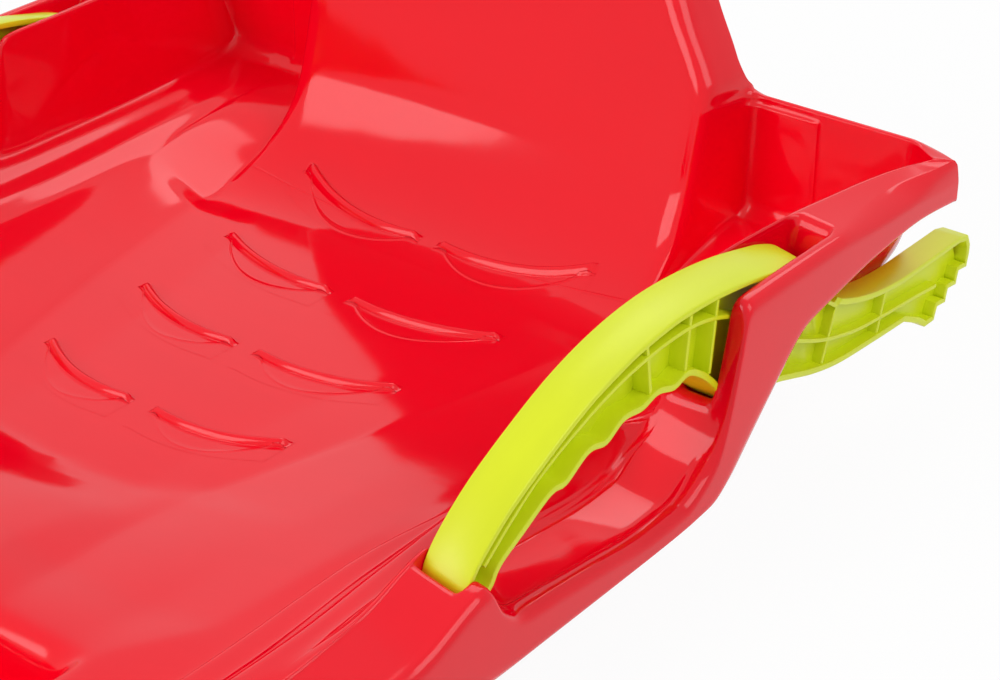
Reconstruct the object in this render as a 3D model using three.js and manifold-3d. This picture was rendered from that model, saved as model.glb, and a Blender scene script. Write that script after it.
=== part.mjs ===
import * as THREE from "three";
import { mergeVertices } from "three/addons/utils/BufferGeometryUtils.js";
import Module from "manifold-3d";

// Child's plastic sled with two hand brakes, in millimetres.
// While it is drawn, x is the distance from the middle, -y is the way the sled
// travels, y = 0 is the first pair of seat ribs and z = 0 is the seat floor.
// The group at the end moves it so that the runners stand on z = 0.

// Overall sizes. Places along the sled are shares of the length before or behind the
// first ribs: -1 is the tip of the nose and 1 is the rear wall.
const FRONT_LENGTH = 600;
const REAR_LENGTH = 300;
const HALF_WIDTH = 250;
const TUB_DEPTH = 100;
const GROUND_DROP = 45;
const LENGTH_SHIFT = 134;
const RIM_WIDTH = 35;
const WALL = 2.6;

// Room that is larger than the part, and the smallest step kept in its faces
const FAR = 400;
const SLIVER = 0.02;
// Least slant of a mitre that is followed when a wall or an outline is moved
const SPREAD_LEAST_SHARE = 0.62;
const MITRE_LEAST_SHARE = 0.7;

// Nose plan: two superellipses, outer edge and inner edge of the rim
const NOSE_OUTER_DEPTH = 120;
const NOSE_INNER_DEPTH = 88;
const NOSE_POWER = 2.2;
const NOSE_CORNER_SHARE = 0.76;
const FRONT_ROW_SHARE = -0.7;

// Outer edge of the rim: place along, share of the half width
const OUTER_EDGE_SHARES = [
  [-0.8, 0.82],
  [-0.7, 0.852],
  [-0.5, 0.944],
  [-0.333, 0.988],
  [-0.167, 1],
  [1.007, 1],
];
// Width of the rim: place along, share of the full width of the rim
const RIM_WIDTH_SHARES = [
  [-0.8, 0.857],
  [-0.7, 0.914],
  [-0.5, 0.914],
  [-0.333, 0.914],
  [-0.167, 0.943],
  [-0.095, 0.971],
  [-0.06, 1],
  [0.5, 1],
  [0.583, 0.971],
  [0.66, 0.914],
  [0.75, 0.8],
  [0.847, 0.657],
  [0.933, 0.429],
  [0.96, 0.257],
];
// Heights of the rim and its skirt: place along, share of the tub depth
const RIM_OUTER_SHARES = [
  [-1, 0.95],
  [-0.8, 0.8],
  [-0.7, 0.62],
  [-0.5, 0.24],
  [-0.333, 0.15],
  [-0.167, 0.23],
  [-0.095, 0.36],
  [-0.083, 0.24],
  [-0.06, 0.13],
  [-0.022, 0.11],
  [0.06, 0.08],
  [0.17, 0.046],
  [0.253, 0.054],
  [0.3, 0.12],
  [0.333, 0.21],
  [0.357, 0.38],
  [0.383, 0.7],
  [0.395, 0.86],
  [0.443, 0.87],
  [0.807, 0.88],
  [0.9, 0.875],
  [1.007, 0.865],
];
const RIM_INNER_SHARES = [
  [-1, 0.98],
  [-0.8, 0.86],
  [-0.7, 0.68],
  [-0.5, 0.32],
  [-0.333, 0.236],
  [-0.167, 0.316],
  [-0.095, 0.42],
  [-0.083, 0.3],
  [-0.06, 0.17],
  [-0.022, 0.13],
  [0.06, 0.1],
  [0.17, 0.07],
  [0.253, 0.08],
  [0.3, 0.15],
  [0.333, 0.24],
  [0.357, 0.4],
  [0.383, 0.72],
  [0.395, 0.88],
  [0.443, 0.9],
  [1.007, 0.9],
];
const SKIRT_SHARES = [
  [-1, 0.62],
  [-0.8, 0.46],
  [-0.7, 0.28],
  [-0.5, -0.08],
  [-0.333, -0.17],
  [-0.2, -0.12],
  [-0.072, -0.09],
  [0.133, -0.07],
  [0.322, -0.04],
  [0.362, 0.02],
  [0.44, 0.24],
  [0.488, 0.38],
  [0.557, 0.55],
  [0.613, 0.59],
  [0.76, 0.67],
  [0.88, 0.7],
  [1.007, 0.67],
];
// Hollow of the hand recess in the rim: place along, share of its depth
const DISH_DEPTH = 4;
const DISH_SHARES = [
  [-0.06, 0],
  [-0.022, 0.625],
  [0.06, 1],
  [0.253, 1],
  [0.333, 0],
];
// Rounding of the outer edge of the rim
const ROLL_INSET = 4;
const ROLL_EDGE = 1.2;
const ROLL_DROP = 0.9;
const ROLL_SIDE_DROP = 2.7;
// Bevel that widens along the rim behind the slot: place along, share of the full bevel
const BEVEL_DROP = 5.7;
const BEVEL_REACH_SHARE = 0.7;
const BEVEL_SHARES = [
  [0.663, 0],
  [0.75, 0.35],
  [0.85, 0.7],
  [0.96, 1],
];
const FLAT_RINGS = 2;
const ALL_RINGS = 5;

// Creases that run along the shell, from the middle out.
// Each point is a place along, a share of the half width and a share of the tub depth.
const CREASE_SHARES = [
  [
    [-0.7, 0, 0.14],
    [-0.5, 0, 0.19],
    [-0.275, 0, 0.21],
    [-0.2, 0, 0.14],
    [-0.142, 0, 0.07],
    [-0.103, 0, 0.016],
    [-0.088, 0, 0],
    [0.583, 0, 0],
  ],
  [
    [-0.7, 0.12, 0.12],
    [-0.5, 0.128, 0.17],
    [-0.317, 0.132, 0.19],
    [-0.275, 0.132, 0.205],
    [-0.2, 0.128, 0.135],
    [-0.142, 0.12, 0.07],
    [-0.103, 0.112, 0.016],
    [-0.087, 0.112, 0],
    [0.583, 0.184, 0],
  ],
  [
    [-0.7, 0.168, -0.3],
    [-0.317, 0.176, -0.3],
    [-0.275, 0.2, 0.19],
    [-0.2, 0.208, 0.125],
    [-0.142, 0.208, 0.065],
    [-0.1, 0.2, 0.016],
    [-0.08, 0.196, 0],
    [0.583, 0.352, 0],
  ],
  [
    [-0.7, 0.32, -0.3],
    [-0.317, 0.32, -0.3],
    [-0.275, 0.32, 0.15],
    [-0.2, 0.308, 0.09],
    [-0.142, 0.292, 0.05],
    [-0.083, 0.288, 0.018],
    [-0.053, 0.306, 0.006],
    [0, 0.348, 0.012],
    [0.267, 0.432, 0.02],
    [0.583, 0.512, 0.02],
  ],
  [
    [-0.7, 0.344, -0.3],
    [-0.317, 0.344, -0.3],
    [-0.275, 0.344, 0.145],
    [-0.2, 0.332, 0.09],
    [-0.142, 0.316, 0.054],
    [-0.083, 0.312, 0.024],
    [-0.053, 0.33, 0.014],
    [0, 0.372, 0.022],
    [0.267, 0.456, 0.032],
    [0.583, 0.536, 0.032],
  ],
  [
    [-0.7, 0.472, -0.3],
    [-0.317, 0.488, -0.3],
    [-0.275, 0.512, 0.145],
    [-0.2, 0.528, 0.115],
    [-0.083, 0.536, 0.1],
    [0, 0.552, 0.092],
    [0.167, 0.568, 0.085],
    [0.333, 0.6, 0.095],
    [0.567, 0.64, 0.12],
    [0.683, 0.688, 0.19],
    [0.96, 0.688, 0.27],
  ],
  [
    [-0.7, 0.52, 0.12],
    [-0.5, 0.536, 0.1],
    [-0.317, 0.544, 0.14],
    [-0.275, 0.564, 0.155],
    [-0.228, 0.62, 0.155],
    [-0.195, 0.652, 0.15],
    [-0.1, 0.664, 0.145],
    [0, 0.674, 0.132],
    [0.1, 0.68, 0.125],
    [0.333, 0.688, 0.13],
    [0.567, 0.696, 0.16],
    [0.96, 0.696, 0.27],
  ],
  [
    [-0.7, 0.568, 0.16],
    [-0.5, 0.64, 0.14],
    [-0.317, 0.708, 0.15],
    [-0.233, 0.716, 0.155],
    [-0.1, 0.708, 0.145],
    [0, 0.728, 0.154],
    [0.033, 0.732, 0.155],
    [0.1, 0.736, 0.16],
    [0.333, 0.736, 0.17],
    [0.96, 0.736, 0.27],
  ],
  [
    [-0.7, 0.58, 0.21],
    [-0.5, 0.648, 0.19],
    [-0.317, 0.72, 0.2],
    [-0.233, 0.724, 0.205],
    [-0.1, 0.714, 0.2],
    [0, 0.736, 0.187],
    [0.033, 0.74, 0.185],
    [0.1, 0.744, 0.175],
    [0.333, 0.748, 0.18],
    [0.96, 0.748, 0.27],
  ],
  [
    [-0.7, 0.616, 0.23],
    [-0.5, 0.696, 0.19],
    [-0.317, 0.78, 0.2],
    [-0.233, 0.78, 0.205],
    [-0.1, 0.76, 0.2],
    [0, 0.756, 0.196],
    [0.033, 0.756, 0.195],
    [0.1, 0.784, 0.21],
    [0.333, 0.784, 0.2],
    [0.96, 0.784, 0.27],
  ],
  [
    [-0.7, 0.64, 0.32],
    [-0.5, 0.72, 0.26],
    [-0.317, 0.804, 0.27],
    [-0.2, 0.808, 0.27],
    [-0.1, 0.792, 0.27],
    [0, 0.774, 0.27],
    [0.033, 0.772, 0.27],
    [0.1, 0.812, 0.265],
    [0.333, 0.812, 0.24],
    [0.96, 0.82, 0.27],
  ],
  [
    [-0.7, 0.688, 0.44],
    [-0.5, 0.784, 0.27],
    [-0.317, 0.836, 0.27],
    [-0.167, 0.848, 0.27],
    [0.3, 0.846, 0.27],
    [0.393, 0.846, 0.25],
    [0.667, 0.85, 0.25],
    [0.867, 0.864, 0.26],
    [0.96, 0.876, 0.27],
  ],
];
const LAST_COLUMN = CREASE_SHARES.length;
const BORDER_COLUMN = 4;
const CREASE_COLUMN = 3;

// Rows of the shell from front to rear: places along at the rim, the seat crease, the middle
const SEAT_ROW_SHARES = [
  [-0.7, -0.7, -0.7],
  [-0.6, -0.6, -0.6],
  [-0.5, -0.5, -0.5],
  [-0.4, -0.4, -0.4],
  [-0.317, -0.317, -0.317],
  [-0.275, -0.275, -0.275],
  [-0.217, -0.208, -0.213],
  [-0.167, -0.153, -0.167],
  [-0.125, -0.11, -0.133],
  [-0.095, -0.077, -0.103],
  [-0.083, -0.053, -0.088],
  [-0.06, -0.03, -0.057],
  [-0.022, 0.017, -0.01],
  [0.06, 0.093, 0.08],
  [0.17, 0.173, 0.167],
  [0.253, 0.247, 0.243],
  [0.3, 0.3, 0.297],
  [0.333, 0.34, 0.34],
  [0.357, 0.373, 0.373],
  [0.383, 0.407, 0.407],
  [0.395, 0.437, 0.437],
  [0.443, 0.473, 0.477],
  [0.5, 0.51, 0.52],
  [0.56, 0.547, 0.567],
];
// Front slope of the nose as shares of the way from the front seat row to the rim
const FRONT_REACH_SHARES = [1, 0.82, 0.64, 0.46, 0.3, 0.15];
const FRONT_RISE_SHARES = [1, 0.87, 0.74, 0.6, 0.42, 0.2];

// Backrest: arc at its foot, then a straight lean
const BACK_RADIUS = 80;
const BACK_START_SHARE = 0.613;
const BACK_DISH = 9;
const BACK_HALF_WIDTH = 130;
const BACK_LEAN = THREE.MathUtils.degToRad(76);
const BACK_ARC_SHARES = [0, 0.2, 0.4, 0.6, 0.8, 1];
const BACK_FOOT_SHARES = [0.985, 0.995, 1, 1, 1, 1];
// Pocket beside the foot of the backrest: places along at its foot and at the rim, and rise
const POCKET_FOOT_SHARES = [0.587, 0.68, 0.77, 0.857, 0.923, 0.97];
const POCKET_RIM_SHARES = [0.627, 0.713, 0.8, 0.873, 0.917, 0.94];
const POCKET_RISE_SHARES = [0.01, 0.04, 0.12, 0.2, 0.25, 0.27];
const POCKET_FOOT_GAP = 3;
// Rows above the rear rim: height at the edge and in the middle, half width
const BACK_BASE_Z = 92;
const BACK_RISE = 95;
const BACK_UPPER_SHARES = [
  [0, 0, 1],
  [0.095, 0.116, 0.988],
  [0.21, 0.274, 0.938],
  [0.4, 0.474, 0.83],
  [0.59, 0.674, 0.738],
  [0.758, 0.853, 0.646],
  [0.884, 1, 0.538],
];
const BORDER_DEPTH = 22;
const BORDER_FLARE = 1.5;
const BORDER_LIP = 1.2;

// Rear wall, with a panel beside the backrest that is set back below the rim
const REAR_WALL_IN = 2;
const REAR_RIM_OUT = 4;
const REAR_CORNER_IN = 12;
const REAR_CORNER_OUT = 5;
const REAR_SKIRT_DROP = 21;
const REAR_PANEL_SET_BACK = 2;
const REAR_PANEL_COLUMN = 5;
const REAR_PANEL_TOP_SHARE = 0.86;
const REAR_PANEL_END_SHARE = 0.88;
const REAR_RIM_SHARE = 0.91;
const REAR_COLUMN_SHARES = [0.532, 0.688, 0.696, 0.736, 0.748, 0.784, 0.824, 0.9];

// Grip ribs on the seat
const RIB_ROWS = 4;
const RIB_PITCH = 69;
const RIB_INNER_X = 9.4;
const RIB_OUTER_X = 75;
const RIB_OUTER_GROWTH = 6.1;
const RIB_BOW = 6.5;
const RIB_SWEEP = 14;
const RIB_HALF_WIDTH = 2.6;
const RIB_TOP_HALF_WIDTH = 0.9;
const RIB_HEIGHT = 3;
const RIB_SINK = 1.2;
const RIB_STEPS = 8;
const RIB_END_SHARE = 0.125;
const RIB_FADE_SHARE = 0.25;

// Runner keels under the shell: place along, share of the drop from seat to ground
const KEEL_X = 62;
const KEEL_WIDTH = 9;
const KEEL_SHARES = [
  [-0.758, -1],
  [0.7, -1],
  [0.76, -0.667],
  [0.8, 0],
  [0.813, 0.889],
  [-0.82, 0.889],
  [-0.813, 0.111],
  [-0.79, -0.667],
];

// Brake levers: the pivot, the reach of grip and tail, and the width between the walls
const HUB_SHARE = 0.4733;
const HUB_Z = 48;
const HUB_RADIUS = 13;
const TIP_SHARE = -0.105;
const TAIL_LENGTH = 195;
const LEVER_RISE = 50;
const LEVER_WIDTH = 22;
const LEVER_IN_FROM_EDGE = 9;
const ARM_WIDTH = 15;
const LEVER_SKIN = 3.2;
const LEVER_WEB = 3;
const LEVER_RIB = 2.2;
// Side outline from the pivot: share of the reach of grip or tail, share of the rise
const LEVER_TOP_SHARES = [
  [-1, -0.4],
  [-0.995, -0.24],
  [-0.951, -0.02],
  [-0.859, 0.26],
  [-0.727, 0.54],
  [-0.6, 0.76],
  [-0.463, 0.91],
  [-0.327, 0.98],
  [-0.19, 0.97],
  [-0.049, 0.9],
  [0.082, 0.79],
  [0.164, 0.71],
  [0.21, 0.63],
  [0.241, 0.5],
  [0.262, 0.34],
  [0.292, 0.18],
  [0.359, 0],
  [0.492, -0.18],
  [0.636, -0.28],
  [0.81, -0.31],
  [0.954, -0.34],
];
const LEVER_TAIL_SHARES = [
  [0.99, -0.4],
  [1, -0.52],
];
const LEVER_HEEL_SHARES = [
  [0.795, -1.02],
  [0.754, -0.91],
  [0.682, -0.78],
];
const LEVER_BOTTOM_SHARES = [
  [0.569, -0.76],
  [0.379, -0.71],
  [0.256, -0.62],
  [0.154, -0.5],
  [0.082, -0.42],
  [0.005, -0.4],
  [-0.059, -0.34],
  [-0.112, -0.14],
  [-0.166, 0.06],
  [-0.215, 0.2],
  [-0.263, 0.29],
  [-0.317, 0.24],
  [-0.376, 0.3],
  [-0.429, 0.25],
  [-0.493, 0.27],
  [-0.551, 0.16],
  [-0.61, 0.19],
  [-0.683, 0.04],
  [-0.732, 0.04],
  [-0.82, -0.14],
  [-0.888, -0.29],
  [-0.912, -0.42],
  [-0.937, -0.48],
  [-0.98, -0.48],
];
const TOOTH_COUNT = 4;
const TOOTH_DROP = 7;
const TOOTH_BACK = 1.6;
const TOOTH_CUT = 8;
const TOOTH_CUT_RISE = 0.9;
// Long ribs and cross ribs of the web, by the same shares
const MID_RIB_SHARES = [
  [-0.937, -0.2],
  [-0.859, 0.04],
  [-0.766, 0.28],
  [-0.639, 0.49],
  [-0.507, 0.65],
  [-0.376, 0.73],
  [-0.244, 0.73],
  [-0.122, 0.6],
  [-0.02, 0.38],
];
const ARM_RIB_SHARES = [
  [0.092, 0],
  [0.185, -0.16],
  [0.308, -0.35],
  [0.456, -0.49],
  [0.6, -0.55],
  [0.749, -0.6],
  [0.841, -0.64],
];
const CROSS_RIB_SHARES = [
  [-0.829, 0.38, -0.8, -0.12],
  [-0.624, 0.72, -0.6, 0.18],
  [-0.415, 0.93, -0.395, 0.26],
  [-0.259, 0.94, -0.273, 0.3],
  [-0.161, 0.92, -0.18, 0.1],
  [0.349, 0.01, 0.297, -0.64],
  [0.585, -0.24, 0.554, -0.74],
];
// Where the grip narrows to the arm: shares of the reach of the tail
const TAPER_START_SHARE = 0.133;
const ARM_START_SHARE = 0.241;
const TAPER = 3;

// Slot for the lever in the rim, and the lining of its outer wall
const SIDE_GAP = 1;
const SLOT_FRONT_SHARE = 0.353;
const SLOT_TAPER_SHARE = 0.56;
const SLOT_REAR_SHARE = 0.663;
const SLOT_FLOOR_Z = 27.5;
const SLOT_REAR_FOOT_Z = 62;
const SLOT_WALL_SHORT = 0.3;
const LINING_THICK = 2.4;
// Place along, share of the tub depth
const LINING_SHARES = [
  [0.353, 0.275],
  [0.42, 0.275],
  [0.49, 0.43],
  [0.56, 0.6],
  [0.667, 0.64],
  [0.667, 0.86],
  [0.397, 0.85],
  [0.383, 0.67],
  [0.357, 0.35],
];
const LEDGE_FRONT_SHARE = 0.347;
const LEDGE_REAR_SHARE = 0.427;
const LEDGE_THICK = 3;
const LEDGE_BOND = 4.5;

// Pocket in the rim where the tip of the lever rests
const TIP_GAP = 1.7;
const TIP_FLOOR_GAP = 0.4;
const TIP_POCKET_REAR_SHARE = -0.075;
const TIP_BLOCK_REAR_SHARE = -0.092;
const TIP_BLOCK_MARGIN = 3.4;
const TIP_BLOCK_EDGE = 4.1;
const TIP_SIDE_IN = 7;
const TIP_SIDE_OUT = 1.4;
const TIP_SIDE_TOP_Z = 30;

// Pivot pins, the bosses that hold them and the entries they are pressed up through
const PIN_RADIUS = 4;
const PIN_CLEARANCE = 0.3;
const PIN_BLIND = 2.2;
const PIN_SHORT_OF_EDGE = 4.2;
const BOSS_RADIUS = 8;
const BOSS_SHORT_OF_EDGE = 1.4;
const BOSS_GAP = 0.7;
const BOSS_OUTER_GAP = 1.2;
const ENTRY_HALF_WIDTH = 3.5;
const ROUND_SEGMENTS = 32;

// Rope holes in the nose rim
const ROPE_HOLE_X = 42;
const ROPE_HOLE_IN = 17;
const ROPE_HOLE_RADIUS = 5.5;
const ROPE_HOLE_HALF_DEPTH = 25;

// Colours and gloss
const SHELL_LOOK = { color: 0xe8001c, roughness: 0.22, metalness: 0 };
const LEVER_LOOK = { color: 0xbcd62a, roughness: 0.42, metalness: 0 };
const PIN_LOOK = { color: 0x9a9c9e, roughness: 0.35, metalness: 0.9 };

// Places that follow from the sizes above
const NOSE_START_Y = NOSE_OUTER_DEPTH - FRONT_LENGTH;
const REAR_INNER_Y = REAR_LENGTH - REAR_WALL_IN;
const REAR_OUTER_Y = REAR_LENGTH + REAR_RIM_OUT;
const REAR_CORNER_Y = REAR_LENGTH - REAR_CORNER_IN;
const REAR_RIM_Z = REAR_RIM_SHARE * TUB_DEPTH;
const BACK_START_Y = BACK_START_SHARE * REAR_LENGTH;
const FRONT_ROW_Y = FRONT_ROW_SHARE * FRONT_LENGTH;
const HUB_Y = HUB_SHARE * REAR_LENGTH;
const TIP_Y = TIP_SHARE * FRONT_LENGTH;
const GRIP_LENGTH = HUB_Y - TIP_Y;
const LEVER_OUTER_X = HALF_WIDTH - LEVER_IN_FROM_EDGE;
const LEVER_INNER_X = LEVER_OUTER_X - LEVER_WIDTH;
const ARM_INNER_X = LEVER_OUTER_X - ARM_WIDTH;
const SLOT_INNER_X = LEVER_INNER_X - SIDE_GAP;
const SLOT_OUTER_X = LEVER_OUTER_X + SIDE_GAP;

const wasm = await Module();
wasm.setup();

// Straight-line reading of a [place, value] list
function readLine(list, place) {
  if (place <= list[0][0]) {
    return list[0][1];
  }
  for (let i = 1; i < list.length; i += 1) {
    const [endPlace, endValue] = list[i];
    if (place <= endPlace) {
      const [startPlace, startValue] = list[i - 1];
      const share = (place - startPlace) / (endPlace - startPlace);
      return startValue + (endValue - startValue) * share;
    }
  }
  return list[list.length - 1][1];
}

function mix(a, b, share) {
  return a + (b - a) * share;
}

// A place along the sled as a share of the length before or behind the first ribs
function alongShare(y) {
  return y < 0 ? y / FRONT_LENGTH : y / REAR_LENGTH;
}

function alongY(share) {
  return share < 0 ? share * FRONT_LENGTH : share * REAR_LENGTH;
}

function outerX(y) {
  return HALF_WIDTH * readLine(OUTER_EDGE_SHARES, alongShare(y));
}

function innerX(y) {
  return outerX(y) - RIM_WIDTH * readLine(RIM_WIDTH_SHARES, alongShare(y));
}

function rimOuterZ(y) {
  return TUB_DEPTH * readLine(RIM_OUTER_SHARES, alongShare(y));
}

function rimInnerZ(y) {
  return TUB_DEPTH * readLine(RIM_INNER_SHARES, alongShare(y));
}

function skirtZ(y) {
  return TUB_DEPTH * readLine(SKIRT_SHARES, alongShare(y));
}

// One crease of the shell at a given y
function creasePoint(column, y) {
  const line = CREASE_SHARES[column];
  const share = alongShare(y);
  const across = readLine(line.map(([place, value]) => [place, value]), share);
  const height = readLine(line.map(([place, , value]) => [place, value]), share);
  return [HALF_WIDTH * across, y, TUB_DEPTH * height];
}

// y of the inner rim edge of the nose at a given x
function noseInnerY(x) {
  const across = Math.pow(Math.abs(x) / innerX(NOSE_START_Y), NOSE_POWER);
  return NOSE_START_Y - NOSE_INNER_DEPTH * Math.pow(1 - across, 1 / NOSE_POWER);
}

// Inner rim edge at the side of the nose, reach 0 at the front seat row, 1 at the corner
function noseSidePoint(reach) {
  const cornerY = noseInnerY(NOSE_CORNER_SHARE * innerX(NOSE_START_Y));
  const y = mix(FRONT_ROW_Y, cornerY, reach);
  if (y >= NOSE_START_Y) {
    return [innerX(y), y];
  }
  const depth = Math.pow((NOSE_START_Y - y) / NOSE_INNER_DEPTH, NOSE_POWER);
  const x = innerX(NOSE_START_Y) * Math.pow(1 - depth, 1 / NOSE_POWER);
  return [Math.min(x, innerX(FRONT_ROW_Y)), y];
}

// A point of the front slope, between the front seat row and the nose rim
function frontPoint(rowIndex, column) {
  const reach = FRONT_REACH_SHARES[rowIndex];
  const rise = FRONT_RISE_SHARES[rowIndex];
  const startX = innerX(FRONT_ROW_Y);
  const cornerX = NOSE_CORNER_SHARE * innerX(NOSE_START_Y);
  const foot = rimOrCrease(column, FRONT_ROW_Y);
  const share = foot[0] / startX;
  const noseX = cornerX * share;
  const noseY = noseInnerY(noseX);
  const cornerY = noseInnerY(cornerX);
  const side = noseSidePoint(reach);
  const sideStraightX = mix(startX, cornerX, reach);
  const sideStraightY = mix(FRONT_ROW_Y, cornerY, reach);
  const x = mix(foot[0], noseX, reach) + share * (side[0] - sideStraightX);
  const y = mix(FRONT_ROW_Y, noseY, reach) + share * (side[1] - sideStraightY);
  return [x, y, mix(foot[2], rimInnerZ(-FRONT_LENGTH), rise)];
}

function rimOrCrease(column, y) {
  if (column === LAST_COLUMN) {
    return [innerX(y), y, rimInnerZ(y)];
  }
  return creasePoint(column, y);
}

// A point of the seat part of the shell
function seatPoint(row, column) {
  const [rimY, creaseY, middleY] = row.map(alongY);
  if (column <= CREASE_COLUMN) {
    return creasePoint(column, mix(middleY, creaseY, column / CREASE_COLUMN));
  }
  const share = (column - CREASE_COLUMN) / (LAST_COLUMN - CREASE_COLUMN);
  return rimOrCrease(column, mix(creaseY, rimY, share));
}

// How far back the face of the backrest lies at a height, measured from its foot
function backReach(z) {
  const arcTop = BACK_RADIUS * (1 - Math.cos(BACK_LEAN));
  if (z < arcTop) {
    return BACK_RADIUS * Math.sin(Math.acos(1 - z / BACK_RADIUS));
  }
  return BACK_RADIUS * Math.sin(BACK_LEAN) + (z - arcTop) / Math.tan(BACK_LEAN);
}

function backPoint(x, z) {
  const across = x / BACK_HALF_WIDTH;
  return [x, BACK_START_Y - BACK_DISH * across * across + backReach(z), z];
}

// Rows that climb the foot of the backrest and, beside it, run along the side pocket
function arcPoint(index, column) {
  const angle = BACK_ARC_SHARES[index] * BACK_LEAN;
  const z = BACK_RADIUS * (1 - Math.cos(angle));
  if (column <= CREASE_COLUMN) {
    const half = BACK_FOOT_SHARES[index] * BACK_HALF_WIDTH;
    return backPoint((half * column) / CREASE_COLUMN, z);
  }
  const footY = alongY(POCKET_FOOT_SHARES[index]);
  if (column === BORDER_COLUMN) {
    return [BACK_HALF_WIDTH + POCKET_FOOT_GAP, footY, POCKET_RISE_SHARES[index] * TUB_DEPTH];
  }
  const share = (column - BORDER_COLUMN) / (LAST_COLUMN - BORDER_COLUMN);
  return rimOrCrease(column, mix(footY, alongY(POCKET_RIM_SHARES[index]), share));
}

// The row that holds the rear rim
function rearRimPoint(column) {
  if (column <= CREASE_COLUMN) {
    return upperPoint(0, column);
  }
  if (column === LAST_COLUMN) {
    return [innerX(REAR_CORNER_Y), REAR_CORNER_Y, REAR_RIM_Z];
  }
  const x = REAR_COLUMN_SHARES[column - BORDER_COLUMN] * HALF_WIDTH;
  return [x, REAR_INNER_Y, REAR_RIM_Z];
}

// A row of the rear wall a share of the way up; the panel beside the backrest may lie deeper
function panelPoint(share, setBack, column) {
  const foot = arcPoint(BACK_ARC_SHARES.length - 1, column);
  const rim = rearRimPoint(column);
  const [x, y, z] = foot.map((value, axis) => mix(value, rim[axis], share));
  const inPanel = column >= BORDER_COLUMN && column <= REAR_PANEL_COLUMN;
  return [x, inPanel ? y + setBack : y, z];
}

// Rows of the backrest from the rear rim up, with the border that turns back round it
function upperPoint(index, column) {
  const [edgeShare, middleShare, halfShare] = BACK_UPPER_SHARES[index];
  const edgeZ = BACK_BASE_Z + edgeShare * BACK_RISE;
  const middleZ = BACK_BASE_Z + middleShare * BACK_RISE;
  const half = halfShare * BACK_HALF_WIDTH;
  if (column <= CREASE_COLUMN) {
    const share = column / CREASE_COLUMN;
    return backPoint(half * share, mix(middleZ, edgeZ, share * share));
  }
  const [x, y, z] = backPoint(half, edgeZ);
  return [x + BORDER_FLARE, y + BORDER_DEPTH, z];
}

// The last row is the rear edge of the border along the top of the backrest
function topBorderPoint(column) {
  const [x, y, z] = upperPoint(BACK_UPPER_SHARES.length - 1, column);
  return [x, y + BORDER_DEPTH, z];
}

// All rows of one half of the shell, from the nose rim to the top of the backrest
function shellRows() {
  const everyColumn = [...Array(LAST_COLUMN + 1).keys()];
  const innerColumns = everyColumn.slice(0, BORDER_COLUMN + 1);
  const rows = [];
  FRONT_REACH_SHARES.forEach((share, index) => {
    rows.push(everyColumn.map((column) => frontPoint(index, column)));
  });
  SEAT_ROW_SHARES.forEach((row) => {
    rows.push(everyColumn.map((column) => seatPoint(row, column)));
  });
  BACK_ARC_SHARES.forEach((share, index) => {
    rows.push(everyColumn.map((column) => arcPoint(index, column)));
  });
  rows.push(
    everyColumn.map((column) => panelPoint(REAR_PANEL_TOP_SHARE, REAR_PANEL_SET_BACK, column)),
  );
  rows.push(everyColumn.map((column) => panelPoint(REAR_PANEL_END_SHARE, 0, column)));
  rows.push(everyColumn.map(rearRimPoint));
  for (let index = 1; index < BACK_UPPER_SHARES.length; index += 1) {
    rows.push(innerColumns.map((column) => upperPoint(index, column)));
  }
  rows.push(innerColumns.slice(0, CREASE_COLUMN).map(topBorderPoint));
  return rows;
}

// Rings of the rim outside one point of the shell's inner edge
function sideRings([x, y, z]) {
  const outX = outerX(y);
  const outZ = rimOuterZ(y);
  const bevel = readLine(BEVEL_SHARES, alongShare(y));
  const bandX = outX - mix(ROLL_INSET, BEVEL_REACH_SHARE * (outX - x), bevel);
  const edgeZ = outZ - mix(ROLL_DROP, BEVEL_DROP, bevel);
  const dish = DISH_DEPTH * readLine(DISH_SHARES, alongShare(y));
  return [
    [(x + bandX) / 2, y, (z + outZ) / 2 - dish],
    [bandX, y, outZ],
    [outX - ROLL_EDGE, y, edgeZ],
    [outX, y, edgeZ - ROLL_SIDE_DROP],
    [outX, y, skirtZ(y)],
  ];
}

function noseRings([x, y]) {
  const outX = (x * outerX(NOSE_START_Y)) / innerX(NOSE_START_Y);
  const outY = NOSE_START_Y + ((y - NOSE_START_Y) * NOSE_OUTER_DEPTH) / NOSE_INNER_DEPTH;
  const reach = (NOSE_START_Y - y) / NOSE_INNER_DEPTH;
  const innerZ = mix(rimInnerZ(NOSE_START_Y), rimInnerZ(-FRONT_LENGTH), reach);
  const outZ = mix(rimOuterZ(NOSE_START_Y), rimOuterZ(-FRONT_LENGTH), reach);
  const footZ = mix(skirtZ(NOSE_START_Y), skirtZ(-FRONT_LENGTH), reach);
  const away = Math.hypot(outX - x, outY - y);
  const along = (distance) => [
    outX - ((outX - x) * distance) / away,
    outY - ((outY - y) * distance) / away,
  ];
  return [
    [(x + along(ROLL_INSET)[0]) / 2, (y + along(ROLL_INSET)[1]) / 2, (innerZ + outZ) / 2],
    [...along(ROLL_INSET), outZ],
    [...along(ROLL_EDGE), outZ - ROLL_DROP],
    [outX, outY, outZ - ROLL_DROP - ROLL_SIDE_DROP],
    [outX, outY, footZ],
  ];
}

function cornerRings([x, y, z]) {
  const outX = outerX(y);
  const outY = REAR_OUTER_Y - REAR_CORNER_OUT;
  const outZ = rimOuterZ(REAR_OUTER_Y);
  const band = 1 - BEVEL_REACH_SHARE;
  const edgeZ = outZ - BEVEL_DROP;
  return [
    [mix(x, outX, band / 2), mix(y, outY, band / 2), mix(z, outZ, 1 / 2)],
    [mix(x, outX, band), mix(y, outY, band), outZ],
    [outX - ROLL_EDGE, outY - ROLL_DROP, edgeZ],
    [outX, outY, edgeZ - ROLL_SIDE_DROP],
    [outX, outY, skirtZ(REAR_OUTER_Y)],
  ];
}

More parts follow.
